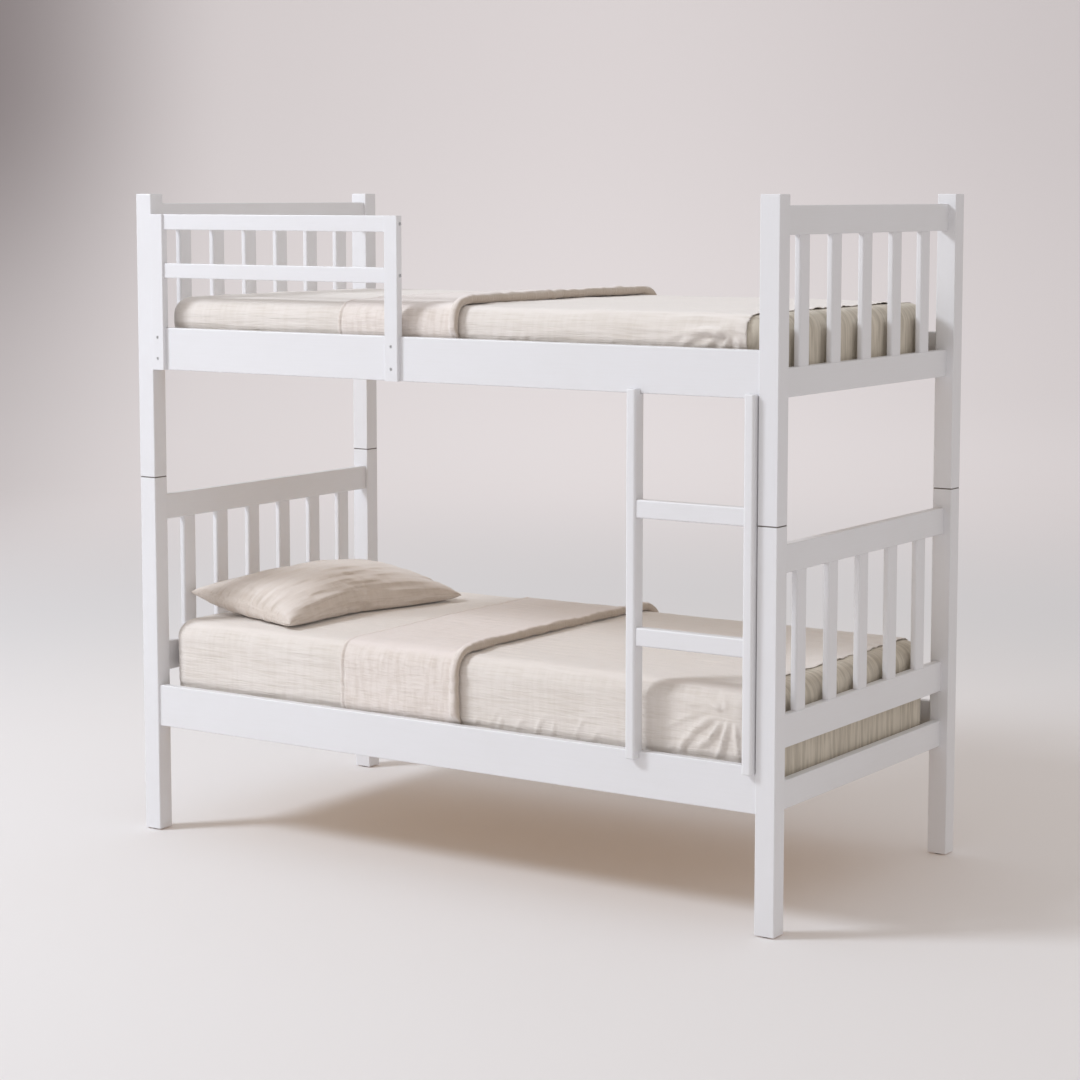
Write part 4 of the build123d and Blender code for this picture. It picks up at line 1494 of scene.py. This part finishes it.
# ---------------------------------------------------------------- studio
@dataclass
class Studio:
    """A pale paper floor that curves up all round, a large soft key light, and the camera."""

    floor_rings: tuple[float, ...] = (0.5, 3.0, 6.0, 9.0)  # radii
    rise_radius: float = 4.0
    rise_angles: tuple[int, int, int] = (6, 90, 15)  # first and last, in degrees, and how many
    wall_height: float = 7.0
    sides: int = 96
    key_from: Place = (-5.35, -5.2, 6.5)
    key_to: Place = (0.0, 0.0, 0.9)
    key_size: float = 2.4
    key_watts: float = 480.0
    key_tint: Colour = (0.90, 0.95, 1.03)
    low_glow: Colour = (0.655, 0.62, 0.60)  # light from the level of the horizon
    high_glow: Colour = (0.61, 0.59, 0.58)  # light from straight above
    glow_rise: Stops = (0.05, 0.9)  # upward part of the direction between the two
    sensor: float = 36.0  # millimetres
    lens: float = 87.24  # millimetres
    lens_rise: float = -0.0648  # shift, as a share of the sensor's width
    clip: Pair = (0.1, 60.0)
    camera_at: Place = (3.9196, -5.8780, 1.7742)
    camera_dip: float = 0.10573  # how far it looks down, in radians
    camera_turn: float = 0.58894  # how far it is turned from the front towards the ladder end

    def ring_piece(
        self, name: str, profile: Sequence[Pair], paper: bpy.types.Material, capped: bool
    ) -> bpy.types.Object:
        """Turns a profile about the upright axis.

        Args:
            name: The piece's name.
            profile: Radius and height of each place.
            paper: The material.
            capped: Whether the first ring is filled in.

        Returns:
            The piece.
        """
        angles = np.linspace(0, 2 * math.pi, self.sides, endpoint=False)
        points = np.array([(r * math.cos(a), r * math.sin(a), z) for r, z in profile for a in angles])
        index = np.arange(len(points)).reshape(len(profile), self.sides)
        after = np.roll(index, -1, axis=1)
        quads = np.stack([index[:-1], after[:-1], after[1:], index[1:]], -1).reshape(-1, 4)[:, ::-1]
        faces = quads.tolist() + ([index[0].tolist()] if capped else [])
        piece = make_piece(name, points, faces, paper)
        return piece

    def make_room(self) -> None:
        """Makes the floor, and a curved wall that lets the light through."""
        paper = StudioPaper().make()
        foot, rise = self.floor_rings[-1], self.rise_radius
        self.ring_piece("studio_floor", [(radius, 0.0) for radius in self.floor_rings], paper, capped=True)
        angles = np.radians(np.linspace(*self.rise_angles))
        curve = [(foot + rise * math.sin(a), rise * (1 - math.cos(a))) for a in angles]
        curve = [(foot, 0.0), *curve, (foot + rise, self.wall_height)]
        wall = self.ring_piece("studio_wall", curve, paper, capped=False)
        wall.visible_diffuse = False
        wall.visible_shadow = False

    def make_lights(self) -> None:
        """Makes the key light and an even glow from all round."""
        key = bpy.data.lights.new("key", "AREA")
        key.shape, key.size, key.energy, key.color = "DISK", self.key_size, self.key_watts, self.key_tint
        lamp = bpy.data.objects.new("key", key)
        lamp.location = self.key_from
        lamp.rotation_euler = (Vector(self.key_to) - Vector(self.key_from)).to_track_quat("-Z", "Y").to_euler()
        bpy.context.scene.collection.objects.link(lamp)
        world = bpy.data.worlds.new("glow")
        world.use_nodes = True
        g = Graph(world.node_tree)
        rise = g.axis(g.add("ShaderNodeTexCoord", output="Generated"), "Z")
        colour = rise.ramp(*self.glow_rise).blend(self.low_glow, self.high_glow)
        g.add_output(g.add("ShaderNodeBackground", None, {"Color": colour}), "ShaderNodeOutputWorld")
        bpy.context.scene.world = world

    def make_camera(self) -> None:
        """Makes the camera, at standing height off the ladder end of the front."""
        camera = bpy.data.cameras.new("camera")
        camera.sensor_width, camera.lens, camera.shift_y = self.sensor, self.lens, self.lens_rise
        camera.clip_start, camera.clip_end = self.clip
        holder = bpy.data.objects.new("camera", camera)
        holder.location = self.camera_at
        holder.rotation_euler = (math.pi / 2 - self.camera_dip, 0.0, self.camera_turn)
        bpy.context.scene.collection.objects.link(holder)
        bpy.context.scene.camera = holder

    def make(self) -> None:
        """Makes the whole studio."""
        self.make_room()
        self.make_lights()
        self.make_camera()
        bpy.context.scene.view_settings.view_transform = "Standard"


def main() -> None:
    """Builds the bed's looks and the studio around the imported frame."""
    logging.basicConfig(level=logging.INFO, format="%(name)s: %(message)s")
    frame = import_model()
    Studio().make()
    sheet_cloth = Gauze(
        "sheet_gauze", light=(0.82, 0.77, 0.725), deep=(0.62, 0.555, 0.48), bleached=(0.90, 0.85, 0.81)
    ).make()
    coverlet_cloth = Gauze(
        "coverlet_gauze",
        light=(0.84, 0.775, 0.73),
        deep=(0.63, 0.55, 0.48),
        bleached=(0.92, 0.85, 0.82),
        pucker_length=0.09,
        cross_puckers=0.55,
        hem=(0.50, 0.42, 0.34),
    ).make()
    ticking = Ticking().make()
    pieces = []
    for tier, seed in (("lower", 11), ("upper", 47)):
        rail_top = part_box(f"{tier}_side_rail_front")[1].z
        bed = Mattress(tier, f"{tier}_bedding", ticking, sheet_cloth, seed, rail_top=rail_top)
        core = bed.make_core()
        sheet = bed.make_sheet()
        pieces += [core, sheet, Coverlet(bed, coverlet_cloth).make(sheet)]
    pillow_cloth = Gauze(
        "pillow_gauze",
        light=(0.75, 0.68, 0.62),
        deep=(0.47, 0.385, 0.305),
        bleached=(0.96, 0.90, 0.86),
        pucker_width=0.015,
        depth=0.0045,
        calm=0.40,
    ).make()
    pieces.append(Pillow(pillow_cloth).make())
    for piece in pieces:
        log.info("%s: %d points", piece.name, len(piece.data.vertices))
    Woodwork(frame["nodes"]).dress()


if __name__ == "__main__":
    main()
